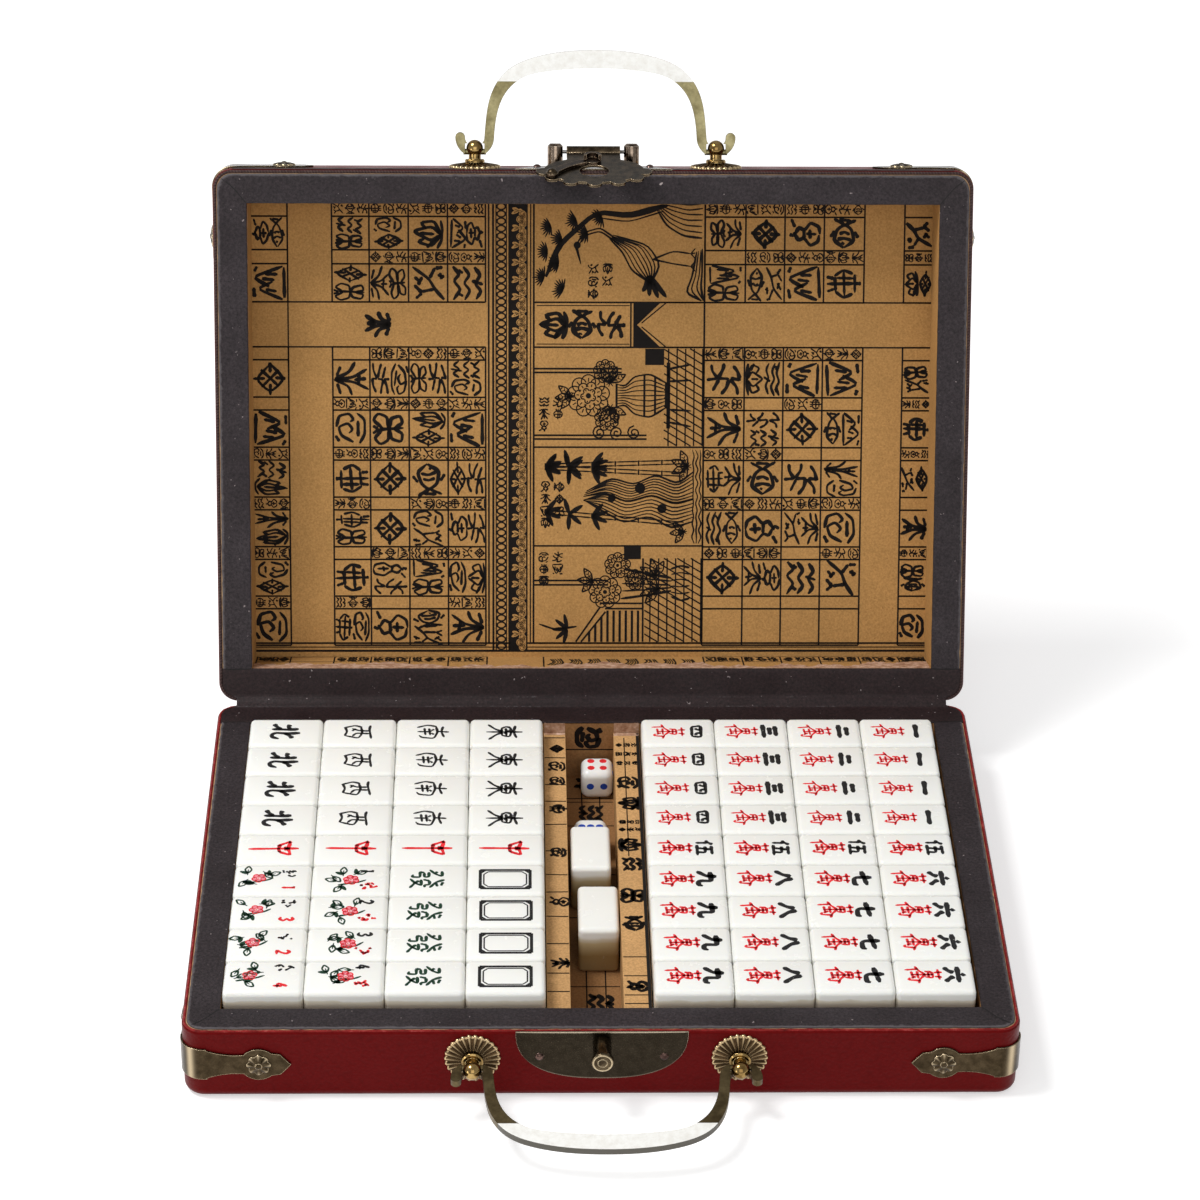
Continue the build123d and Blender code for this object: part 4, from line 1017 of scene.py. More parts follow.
# ------------------------------------------------------------------ printed paper
MOTIFS = {
    "bamboo": [(50, 0, 48, 30), (48, 34, 49, 64), (49, 68, 52, 98), (50, 68, 74, 86, 96, 88),
        (50, 64, 76, 56, 94, 40), (48, 32, 24, 48, 4, 50), (48, 30, 26, 16, 6, 14), (52, 94, 30, 90, 10, 76),
        (50, 36, 84, 18)],
    "plum": [(4, 6, 34, 32, 64, 46, 96, 94), (34, 32, 24, 70), (64, 46, 92, 30), (24, 68, 8, 84), (24, 68, 42, 88),
        (92, 30, 96, 8), (50, 70, 68, 88), (46, 80, 66, 66), (60, 10, 80, 16), (66, 4, 72, 24)],
    "waves": [(2, 12, 24, 32, 44, 12, 66, 32, 98, 12), (2, 42, 28, 60, 50, 42, 72, 60, 98, 42),
        (6, 72, 30, 90, 52, 72, 76, 90, 96, 74), (12, 28, 22, 40), (78, 26, 88, 40), (44, 64, 56, 96)],
    "cloud": [(6, 30, 32, 10, 76, 12, 96, 34), (10, 46, 30, 80, 58, 88, 68, 62, 48, 46, 36, 60),
        (54, 94, 88, 86, 96, 56, 76, 42, 68, 54), (12, 88, 32, 98), (26, 32, 72, 30)],
    "knot": [(8, 50, 50, 92, 92, 50, 50, 8, 8, 50), (26, 76, 76, 24), (24, 24, 76, 76), (50, 98, 50, 64),
        (50, 36, 50, 2), (2, 50, 34, 50), (66, 50, 98, 50)],
    "peaks": [(2, 12, 32, 84, 52, 40), (40, 50, 66, 98, 98, 12), (6, 6, 96, 8), (62, 70, 56, 34), (76, 62, 74, 26),
        (30, 62, 24, 28), (8, 92, 36, 94), (82, 94, 98, 86)],
    "orchid": [(50, 2, 30, 46, 2, 64), (50, 2, 46, 56, 26, 98), (50, 2, 60, 58, 84, 98), (50, 2, 72, 40, 98, 50),
        (38, 74, 70, 70), (52, 92, 54, 56), (10, 20, 40, 8), (62, 8, 92, 18)],
    "lantern": [(50, 99, 50, 82), (24, 80, 76, 82), (22, 76, 10, 48, 28, 24), (78, 76, 90, 48, 72, 24),
        (28, 24, 72, 26), (50, 78, 50, 1), (16, 52, 84, 54), (34, 22, 30, 2), (66, 22, 70, 2), (34, 76, 32, 28)],
    "gourd": [(50, 99, 42, 86, 56, 82), (50, 82, 28, 70, 38, 52, 12, 32, 26, 6, 50, 2),
        (50, 82, 72, 70, 62, 52, 88, 32, 74, 6, 50, 2), (36, 52, 64, 52), (72, 80, 96, 94), (34, 30, 66, 32),
        (50, 46, 50, 12)],
    "moth": [(50, 84, 50, 10), (50, 70, 24, 96, 4, 80, 16, 54, 50, 54), (50, 70, 76, 96, 96, 80, 84, 54, 50, 54),
        (50, 50, 20, 46, 12, 18, 36, 12, 50, 40), (50, 50, 80, 46, 88, 18, 64, 12, 50, 40), (50, 84, 38, 99),
        (50, 84, 62, 99)],
    "lotus": [(50, 8, 26, 36, 50, 96), (50, 8, 74, 36, 50, 96), (50, 8, 8, 34, 18, 78, 36, 56),
        (50, 8, 92, 34, 82, 78, 64, 56), (4, 16, 32, 4, 68, 4, 96, 16), (50, 76, 50, 30), (4, 46, 26, 30)],
    "carp": [(6, 50, 30, 82, 66, 72, 82, 50, 66, 28, 30, 18, 6, 50), (80, 50, 98, 86), (80, 50, 98, 14),
        (32, 74, 38, 50, 32, 26), (50, 68, 56, 50, 50, 32), (96, 70, 94, 30), (40, 96, 60, 82), (40, 4, 60, 18),
        (18, 56, 24, 52)],
}
KINDS = tuple(MOTIFS)


def motif(pen, x, y, size, kind=None, stroke=1.25, stretch=(1.0, 1.0), turned=None):
    """A bold brush drawing of a plant, cloud, wave, peak, knot, moth, carp, gourd or lantern, lying on its
    side like its neighbours or turned the other way."""
    kind = kind or KINDS[rng.integers(len(KINDS))]
    turned = rng.integers(0, 2) if turned is None else turned
    turn = -math.pi / 2 + turned * math.pi + rng.normal(0, 0.05)
    c, s = math.cos(turn), math.sin(turn)
    for line in MOTIFS[kind]:
        p = (np.reshape(line, (-1, 2)) / 10 - 5.0) * size / 10 * stretch
        p = p + rng.normal(0, 0.10 * size / 10, p.shape)
        q = np.stack([x + p[:, 0] * c - p[:, 1] * s, y + p[:, 0] * s + p[:, 1] * c], -1)
        ribbon(pen, q, stroke * rng.uniform(0.85, 1.15))


def dealt():
    """Kinds of motif in shuffled rounds, so that neighbours differ."""
    while True:
        yield from (KINDS[k] for k in rng.permutation(len(KINDS)))


deal = dealt()


def filling(pen, x, y, size):
    """A tall cell's drawing: one motif, or two narrow ones beside or above each other."""
    way = rng.random()
    if way < 0.45:
        motif(pen, x, y, size, next(deal), 1.2)
        return
    quarter = 0.26 * size
    dx, dy, stretch = (0, quarter, (0.52, 1.0)) if way < 0.8 else (quarter, 0, (1.0, 0.52))
    for side in (-1, 1):
        motif(pen, x + side * dx, y + side * dy, size, next(deal), 0.86, stretch=stretch)


def small_row(pen, x0, x1, y, height):
    """A short cell's filling: three tiny drawings side by side."""
    step = (x1 - x0) / 3
    for k in range(3):
        motif(pen, x0 + (k + 0.5) * step, y, min(step, height) * 0.92, next(deal), 0.48)


def cell_block(pen, columns, rows, empty=()):
    """Ruled cells between the given lines: tall cells hold one drawing and short cells hold three tiny ones
    or nothing.  `empty` rows stay blank."""
    foot, head = min(low for low, _ in rows), max(high for _, high in rows)
    for x in columns:
        rule(pen, (x, foot), (x, head), 0.54)
    for k, (low, high) in enumerate(rows):
        for y in (low, high):
            rule(pen, (columns[0], y), (columns[-1], y), 0.54)
        if k in empty:
            continue
        for x0, x1 in zip(columns, columns[1:]):
            if high - low < 6:
                if rng.random() < 0.72:
                    small_row(pen, x0, x1, (low + high) / 2, high - low)
            else:
                filling(pen, (x0 + x1) / 2, (low + high) / 2, 0.93 * min(x1 - x0, high - low))


ROW_STEP, SHORT_CELL = 15.95, 4.1


def stacked(top, count, short_first):
    """Rows downwards from `top`, short and tall by turns, as (low, high)."""
    rows, short = [], short_first
    for _ in range(count):
        height = SHORT_CELL if short else ROW_STEP - SHORT_CELL
        rows.append((top - height, top))
        top, short = top - height, not short
    return rows


def chain_border(pen, x0, x1, low, high):
    """A chain of flat oval links, one every 2.3 mm, joined by bars between bold rules."""
    mid, half = (x0 + x1) / 2, (x1 - x0) / 2
    for offset, width in ((-half, 0.66), (half, 0.66), (0.9 - half, 0.34), (half - 0.9, 0.34)):
        rule(pen, (mid + offset, low), (mid + offset, high), width)
    for y in np.arange(low + 1.3, high - 1.0, 2.3):
        ring(pen, mid, y, half - 0.85, half - 1.5, sides=12, squash=0.70)
        for side in (-0.45, 0.45):
            rule(pen, (mid + side, y + 0.75), (mid + side, y + 1.55), 0.5)


def scallop_border(pen, relief, x0, x1, low, high):
    """A black band with pale half blooms opening from one edge every 5.4 mm: three round petals with dark
    ribs, and pointed leaves between the blooms."""
    mid, half = (x0 + x1) / 2, (x1 - x0) / 2
    edge, far = x1 - 0.5, x0 + 0.5
    ribbon(pen, [(mid, low), (mid, high)], 2 * half, 0.02, EVEN)
    for y in np.arange(low + 2.6, high - 1.0, 5.4):
        disc(relief, edge, y, 2.1, 0.034, 12, math.pi / 2, math.pi)
        for turn in (-0.95, 0.0, 0.95):
            a = math.pi + turn
            px, py = around(edge, y, 2.0, a)
            disc(relief, px, py, 1.12, 0.034, 12)
            ring(pen, px, py, 0.86, 0.70, 0.048, 10, a - 1.6, 3.2)
            for fan in (-0.22, 0.22):
                rule(pen, around(edge, y, 0.6, a + fan), around(edge, y, 2.1, a + fan), 0.17, 0.048)
        for turn in (-0.48, 0.48):
            a = math.pi + turn
            rule(pen, around(edge, y, 1.2, a), around(edge, y, 3.0, a), 0.24, 0.048)
        for reach_x, reach_y in ((far, 1.75), (far + 0.2, 3.5), (edge - 1.2, 2.7)):
            tip = (reach_x, y + reach_y)
            root = (edge - 2.4, y + 2.7)
            ribbon(relief, [root, ((root[0] + tip[0]) / 2, (root[1] + tip[1]) / 2 + 0.1), tip], 0.95, 0.034,
                OPEN_PETAL)
            rule(pen, root, ((root[0] + 2 * tip[0]) / 3, (root[1] + 2 * tip[1]) / 3), 0.15, 0.048)


def swirl(pen, x, y, size, way):
    """A cloud curl: a spiral whose radius shrinks evenly over one and a half turns."""
    a = np.linspace(0, 3.4 * math.pi, 15)
    r = size * (1 - 0.85 * a / a[-1])
    ribbon(pen, np.stack([x + way * r * np.cos(a), y + r * np.sin(a)], -1), 0.5, profile=EVEN)


def flow(pen, first, last, count, width=0.5):
    """Woodcut folds: strokes that pass evenly from one line to another of as many points."""
    first, last = np.array(first, float), np.array(last, float)
    for share in np.linspace(0, 1, count):
        bold = 1.5 if share in (0.0, 1.0) else 1.0
        line = first + (last - first) * share
        ribbon(pen, line + rng.normal(0, 0.10, line.shape), width * bold)


def paving(pen, left, right, low, high):
    """Slanting paving: level lines crossed by leaning ones, all cut off at the panel's edges."""
    slant, step = 0.6, 2.7
    for y in np.arange(low, high + 0.1, step):
        rule(pen, (left, y), (right, y), 0.46)
    for x in np.arange(left - slant * (high - low), right, step * 0.95):
        t0 = np.clip((left - x) / slant, 0, high - low)
        t1 = np.clip((right - x) / slant, 0, high - low)
        if t1 - t0 > 1.0:
            rule(pen, (x + slant * t0, low + t0), (x + slant * t1, low + t1), 0.46)


def needles(pen, x, y, size, aim, count):
    """A tuft of pine needles fanned about the direction `aim`."""
    for a in aim + np.linspace(-1.35, 1.35, count):
        far = size * rng.uniform(0.8, 1.1)
        ribbon(pen, [(x, y), around(x, y, far, a)], 0.5, profile=(0.5, 1.1, 1.1, 0.9, 0.3))


def big_bloom(pen, x, y, size):
    """A woodcut peony: three rings of petal arcs, each ring fuller than the one inside it."""
    for share, petals in ((1.0, 9), (0.66, 7), (0.36, 5)):
        for k in range(petals):
            a = TURN * (k + share) / petals
            px, py = around(x, y, 0.72 * share * size, a)
            wide = 0.36 * share * size + 0.25
            ring(pen, px, py, wide, wide - 0.42, sides=9, start=a - 1.9, sweep=3.8)
            rule(pen, (px, py), around(px, py, 0.5 * wide, a), 0.36)
    disc(pen, x, y, 0.14 * size)


def leafy(pen, x, y, length, angles):
    """Leaves set about a point, each with side veins."""
    for angle in angles:
        leaf(pen, x, y, length, angle, 0.45, 0.24)
        ahead = toward(angle)
        across = np.array([-ahead[1], ahead[0]])
        for share in (0.3, 0.5, 0.7):
            root = np.array([x, y]) + ahead * length * share
            for side in (-1, 1):
                ribbon(pen, [root, root + (ahead * 0.7 + across * side * 0.7) * length * 0.16], 0.34)


def caption(pen, right, up, rows):
    """Two columns of tiny drawings, as a picture's heading."""
    for column in range(2):
        for row in range(rows - column):
            motif(pen, right - 3.9 * row, up - 4.4 * column, 3.5, next(deal), 0.5, turned=1)


def crane(pen):
    """A crane on one side of a pine: feathered body and wing, dark tail, curved neck, long legs."""
    flow(pen, [(6, 17), (10, 23), (16, 26), (20, 30)], [(6, 17), (12, 14), (18, 18), (21, 29)], 8, 0.46)
    for tip in ((1.6, 12), (1.4, 14.6), (2.0, 17.4), (3.4, 19.6)):
        ribbon(pen, [(8.5, 17.5), (5, 0.5 * (17.5 + tip[1])), tip], 1.5, profile=(0.6, 1.1, 1.2, 0.9, 0.2))
    for side in (-0.5, 0.5):
        ribbon(pen, [(19.5 + side, 28), (23 + side, 33), (21.5 + side, 38), (18.2, 40 + side)], 0.6)
    disc(pen, 18, 40.2, 1.15)
    ribbon(pen, [(17.2, 40.4), (12, 39)], 0.9, profile=(1.2, 1, 0.8, 0.5, 0.2))
    for foot in (11.4, 15.4):
        ribbon(pen, [(13.6, 16.4), (foot + 0.8, 10), (foot, 4.4)], 0.6)
        for toe in (-1.6, 0.2, 1.7):
            ribbon(pen, [(foot, 4.4), (foot + toe, 3.0)], 0.5)


def pine_panel(pen, wide, tall):
    """Pine, crane and layered rocks."""
    ribbon(pen, [(wide - 1.5, 12), (wide - 5, 24), (wide - 3.5, 34), (18, 46), (8, 50)], 1.9)
    ribbon(pen, [(wide - 3.4, 13), (wide - 6.8, 24), (wide - 5.6, 33)], 0.5)
    for x, y in ((4, 46), (8, 52), (12, 47.5), (16, 51), (20, 46.5), (24, 50), (26, 42), (22, 38.5), (27, 34)):
        needles(pen, x, y - 1.5, 3.6, math.pi / 2 + 0.5 * (x - 15) / 15, 11)
    crane(pen)
    flow(pen, [(wide - 12, 1), (wide - 11, 7), (wide - 8, 12), (wide - 3, 15)],
        [(wide - 0.6, 0.6), (wide - 1.4, 5), (wide - 1, 9), (wide - 0.8, 14)], 7)
    flow(pen, [(0.6, 1.2), (3, 6), (8, 4), (16, 2.6)], [(0.6, 0.4), (5, 1.2), (9, 0.8), (17, 0.8)], 4)
    caption(pen, 10.5, 35, 3)


def vase_panel(pen, wide, tall):
    """Peonies in a ribbed vase on a table, before columns, over paving."""
    paving(pen, 0.4, wide - 0.4, 0.4, 12.6)
    ribbon(pen, [(wide - 5.6, 15.6), (wide - 0.4, 15.6)], 6.0, 0.028, EVEN)
    for x in (wide - 8, wide - 6.8, 2.6, 3.8):
        rule(pen, (x, 26 if x > 9 else 18), (x, tall - 0.3), 0.6)
    flow(pen, [(12.5, 12), (9.6, 17), (10.4, 22), (13.6, 25), (13, 27.6)],
        [(20.5, 12), (23.4, 17), (22.6, 22), (19.4, 25), (20, 27.6)], 9, 0.42)
    for y, reach_x in ((12, 4.2), (15.4, 6.2), (18.8, 6.8), (27.6, 3.8)):
        rule(pen, (16.5 - reach_x, y), (16.5 + reach_x, y), 0.7)
    rule(pen, (6, 11.2), (27, 11.2), 1.2)
    for x, foot in ((8, 6.6), (25, 26.4), (12, 11.6), (21, 21.4)):
        ribbon(pen, [(x, 11), (foot, 4)], 0.8)
    for bloom in ((16.4, 36.5, 6.2), (9.2, 30.6, 3.6), (24.2, 31.2, 3.4)):
        big_bloom(pen, *bloom)
    for leaves in ((12.6, 29.6, 5.6, (2.5, 3.6, 4.3)), (20.6, 29.6, 5.6, (-0.4, 0.6, 5.2)),
            (16.4, 42, 5.2, (0.9, 1.7, 2.5))):
        leafy(pen, *leaves)
    for k, y in enumerate((22, 27.5, 33)):
        swirl(pen, 4.6, y, 2.3, (-1) ** k)
    caption(pen, 14.5, 50.5, 3)


def bamboo_panel(pen, wide, tall):
    """A tall holed rock, bamboo behind it and ripples at its foot."""
    for x, lean in ((wide - 9, 0.05), (wide - 4.5, -0.03), (6.5, 0.09)):
        for k in range(6):
            low, high = 6 + 7.4 * k, 12.9 + 7.4 * k
            for side in (-0.6, 0.6):
                ribbon(pen, [(x + side + lean * low, low), (x + side + lean * high, high)], 0.5)
            rule(pen, (x - 0.9 + lean * high, high + 0.2), (x + 0.9 + lean * high, high + 0.2), 0.5)
            if k > 2:
                for turn in (-0.7, -1.3, 3.6, 4.3) if k % 2 else (0.3, 3.1, 4.0, -1.0):
                    blade(pen, (x + lean * high, high), toward(turn) * 5.2, 1.25)
    flow(pen, [(8, 3), (5.6, 10), (9.6, 17), (7.4, 25), (11.6, 33), (14.6, 38)],
        [(15, 3), (13.4, 9), (16.4, 16), (14.0, 24), (17, 31), (14.8, 38)], 7, 0.46)
    flow(pen, [(15, 3), (13.4, 9), (16.4, 16), (14.0, 24), (17, 31), (16, 38)],
        [(24, 3), (20, 8), (23, 15), (19.6, 22), (22, 29), (17.4, 37)], 8, 0.46)
    for x, y, size in ((12, 13, 1.5), (18.6, 20, 1.7), (15.4, 29, 1.3)):
        disc(pen, x, y, size)
    for y in (0.9, 2.0, 3.1):
        x = np.linspace(0.8, wide - 0.8, 15)
        ribbon(pen, np.stack([x, y + 0.5 * np.sin(x * 1.4 + y)], -1), 0.5)
    leafy(pen, 25.6, 5, 5.6, (0.4, 1.2, 2.0, 2.7))
    leafy(pen, 4.6, 6, 4.6, (0.9, 1.7, 2.5))
    caption(pen, 19, 50, 4)


def fence_panel(pen, wide, tall):
    """A peony bush behind a railing, on paving, with a bamboo sprig."""
    paving(pen, 0.4, wide - 4.0, 0.4, 18.4)
    ribbon(pen, [(wide - 2.2, 19.6), (wide - 2.2, 25)], 4.2, 0.028, EVEN)
    rule(pen, (0.4, 18.9), (wide - 4, 18.9), 0.6)
    for k, y in enumerate(np.arange(20.4, 36.6, 1.95)):
        top = 10.6 if y < 30.4 else 10.6 - 1.22 * (y - 30.4)
        rule(pen, (0.4, y), (max(top, 1.0), y), 0.78)
    for shift in (0.0, 1.7):
        ribbon(pen, [(0.4, 38.6 + shift), (10.2 + 0.9 * shift, 30.8 + shift)], 0.6, profile=EVEN)
        rule(pen, (11.2 + shift, 19), (11.2 + shift, 31 + shift), 0.6)
    for x in (wide - 12.6, wide - 11.2):
        rule(pen, (x, 30), (x, tall - 0.3), 0.6)
    flow(pen, [(17, 10), (15.6, 18), (14.4, 26)], [(21, 10), (22.6, 18), (24, 25)], 5, 0.6)
    for bloom in ((16.6, 31, 4.8), (25.2, 27, 3.8), (20.6, 21.4, 3.0)):
        big_bloom(pen, *bloom)
    for leaves in ((17.6, 14, 6.2, (2.4, 0.7, 1.9)), (21.6, 15, 5.8, (0.2, 1.0, -0.5)),
            (20.2, 35, 5.0, (0.6, 1.5, 2.4))):
        leafy(pen, *leaves)
    flow(pen, [(14.6, 4), (13.8, 7), (15, 10)], [(24.4, 4), (25.2, 7), (24, 10)], 6, 0.5)
    for turn in (0.2, 0.9, 1.6, 2.3, 2.9):
        blade(pen, (4.6, 43), toward(turn) * 5, 1.1)
    ribbon(pen, [(5.4, 40), (4.4, 47), (6.2, 52)], 0.7)
    caption(pen, wide - 3.6, 50.5, 3)


def garden_panels(pen, x0, x1, bottom, lines, top):
    """The middle column: four pictures that lie on their side, their ground along x1, and a title strip of
    bold drawings that ends in a black swallow tail."""
    y1, y2, y3, y4 = lines
    for x in (x0, x1):
        rule(pen, (x, bottom), (x, top), 0.6)
    for y in (bottom, y1, y2, y3, y4):
        rule(pen, (x0, y), (x1, y), 0.55)
    for draw, low, high in ((fence_panel, bottom, y1), (bamboo_panel, y1, y2), (vase_panel, y2, y3),
            (pine_panel, y4, top)):
        draw(Pen(pen.skin, Plane(LID_PAPER.at(x1, low, 0), LID_PAPER.y, LID_PAPER.z)), high - low, x1 - x0)
    for y in (y3 + 1.0, y4 - 1.0):
        rule(pen, (x0 + 0.9, y), (x0 + 30.2, y), 0.3)
    for k in range(3):
        motif(pen, x0 + 6.0 + 9.2 * k, (y3 + y4) / 2, 9.4, ("lotus", "carp", "bamboo")[k], 1.35, turned=1)
    rule(pen, (x0 + 30.6, y3), (x0 + 30.6, y4), 0.5)
    middle = (y3 + y4) / 2
    for y, way in ((y3, 1), (y4, -1)):
        for k in range(8):
            a, b = k / 8, (k + 1) / 8
            inner = [(x0 + 31.4, y + (middle - y) * a), (x0 + 31.4, y + (middle - y) * b)]
            outer = [(x0 + 40.0 - 7.4 * a, inner[0][1]), (x0 + 40.0 - 7.4 * b, inner[1][1])]
            corners = np.array([inner, outer])
            pen.grid(corners[..., 0], corners[..., 1], 0.028)
        rule(pen, (x0 + 34.0, middle - way * 0.6), (x0 + 41.6, y + way * 0.2), 0.42)


def lid_print():
    """Everything printed on the lid's flat paper."""
    pen, relief = Pen(Skin(), LID_PAPER), Pen(Skin(), LID_PAPER)
    low, high = -INNER_Y + 0.15, INNER_Y - 0.15
    foot, band_low, band_high, edge = -68.5, 26.5, 40.7, 107.2
    lower = stacked(band_low, 12, True)
    upper = [(band_high, band_high + 12.0), (band_high + 12.0, band_high + 16.4), (band_high + 16.4, 67.6),
        (67.6, high - 0.2)]
    left_columns = [-81.8, -70.1, -57.8, -45.5, -33.6]
    right_columns = [35.4, 48.2, 60.5, 72.9, 85.6]
    for columns, empty in ((left_columns, ()), (right_columns, (10, 11)), ([-107.4, -95.7], ()), ([98.2, 107.4], ())):
        cell_block(pen, columns, lower, empty)
        cell_block(pen, columns, upper)
    rule(pen, (-95.7, foot), (-95.7, high), 0.46)
    for y, width in ((foot, 0.6), (foot - 1.3, 0.34), (foot - 2.5, 0.7)):
        rule(pen, (-edge, y), (edge, y), width)
    for y in (band_low, band_high):
        rule(pen, (-edge, y), (left_columns[-1], y), 0.5)
        rule(pen, (22.0, y), (edge, y), 0.5)
    motif(pen, -67.5, (band_low + band_high) / 2, 8.6, "orchid", 1.5)
    for x, width in ((-32.6, 0.55), (-19.4, 0.4)):
        rule(pen, (x, foot), (x, high), width)
    chain_border(pen, -31.2, -26.1, low + 2, high)
    scallop_border(pen, relief, -25.9, -20.3, low + 2, high)
    garden_panels(pen, -18.4, 35.4, foot, (-37.0, -5.3, band_low, band_high), high)
    pen.skin.piece("lid_print", PRINT, "lid", slot="printed_paper", facing=OUT)
    relief.skin.piece("lid_print_relief", RELIEF, "lid", slot="printed_paper", facing=OUT)


lid_print()


def lid_wall_print():
    """The sheet's margin turned up on the lid's hinge-side wall: the column rules carry on, with tiny
    drawings between them."""
    pen = Pen(Skin(), Plane(LID_RIM.at(0, INNER_Y, -LID_DEPTH), RIGHT, ALONG))
    lines = [-106.4, -95.7, -81.8, -70.1, -57.8, -45.5, -33.2, -15.2, 35.8, 48.2, 60.5, 72.9, 85.6, 98.2, 106.4]
    for x in lines:
        rule(pen, (x, 0), (x, -LID_DEPTH + 1.4), 0.5)
    for x0, x1 in zip(lines, lines[1:]):
        if x1 - x0 < 12.9:
            for share in (0.2, 0.5, 0.8):
                motif(pen, x0 + share * (x1 - x0), -4.3, 6.4, next(deal), 0.95, stretch=(1.15, 0.5))
    for y in (-0.4, -8.4):
        rule(pen, (-106, y), (-33.2, y), 0.6)
        rule(pen, (35.8, y), (106, y), 0.6)
    for k in range(8):
        flow(pen, [(-14 + 6 * k, -14), (-12 + 6 * k, -9 + k % 3), (-13 + 6 * k, -4)],
            [(-10 + 6 * k, -15), (-9 + 6 * k, -10), (-10 + 6 * k, -3 - k % 2)], 5, 0.5)
    pen.skin.piece("lid_hinge_wall_print", PRINT, "lid", slot="printed_paper", facing=ALONG)


lid_wall_print()


def torn_margin(name, plane, half_length, seed, facing, drop, corners):
    """Ragged paper under a rim: a strip whose free edge frays, longer at its two ends."""
    x = np.linspace(-half_length, half_length, int(half_length * 4))
    fray = drop * (1 + 0.6 * wobble(x * 0.35, seed) + 0.25 * wobble(x * 2.1, seed + 1))
    fray += rng.uniform(-0.3, 0.3, len(x)) + corners * np.exp(-(((np.abs(x) - half_length) / 7) ** 2))
    depth = np.array([0.0, 0.3, 0.7, 1.0])[:, None]
    skin = Skin()
    skin.grid(plane.at(x[None] + 0 * depth, 0.25 + np.clip(fray, 0.5, 11)[None] * depth,
        0.05 + 0.06 * rng.uniform(0, 1, (4, len(x)))))
    skin.piece(name, TORN, "lid", slot="printed_paper", facing=facing)


torn_margin("lid_torn_margin", Plane(LID_RIM.at(0, INNER_Y, 0), RIGHT, ALONG), INNER_X - 0.2, 3, ALONG, 6.4, 4.0)
torn_margin("lid_side_torn_margin", Plane(LID_RIM.at(INNER_X, 0, 0), LID_RIM.y, (1, 0, 0)), INNER_Y - 0.3, 13,
    (1, 0, 0), 0.8, 2.0)


def worn_patch(pen, x0, x1, y0, y1, seed):
    """Scuffed paper: a patch whose outline wanders, raised a little and fibrous."""
    u = np.linspace(0, 1, 26)[:, None]
    v = np.linspace(0, 1, 18)[None]
    x = x0 + (x1 - x0) * (u + 0.10 * wobble(v * 22, seed) * (u > 0.02) * (u < 0.98))
    y = y0 + (y1 - y0) * (v + 0.10 * wobble(u * 20, seed + 1) * (v > 0.02) * (v < 0.98))
    pen.grid(np.clip(x, min(x0, x1), max(x0, x1)), y + 0 * x, 0.035 + 0.03 * rng.uniform(0, 1, (26, 18)))


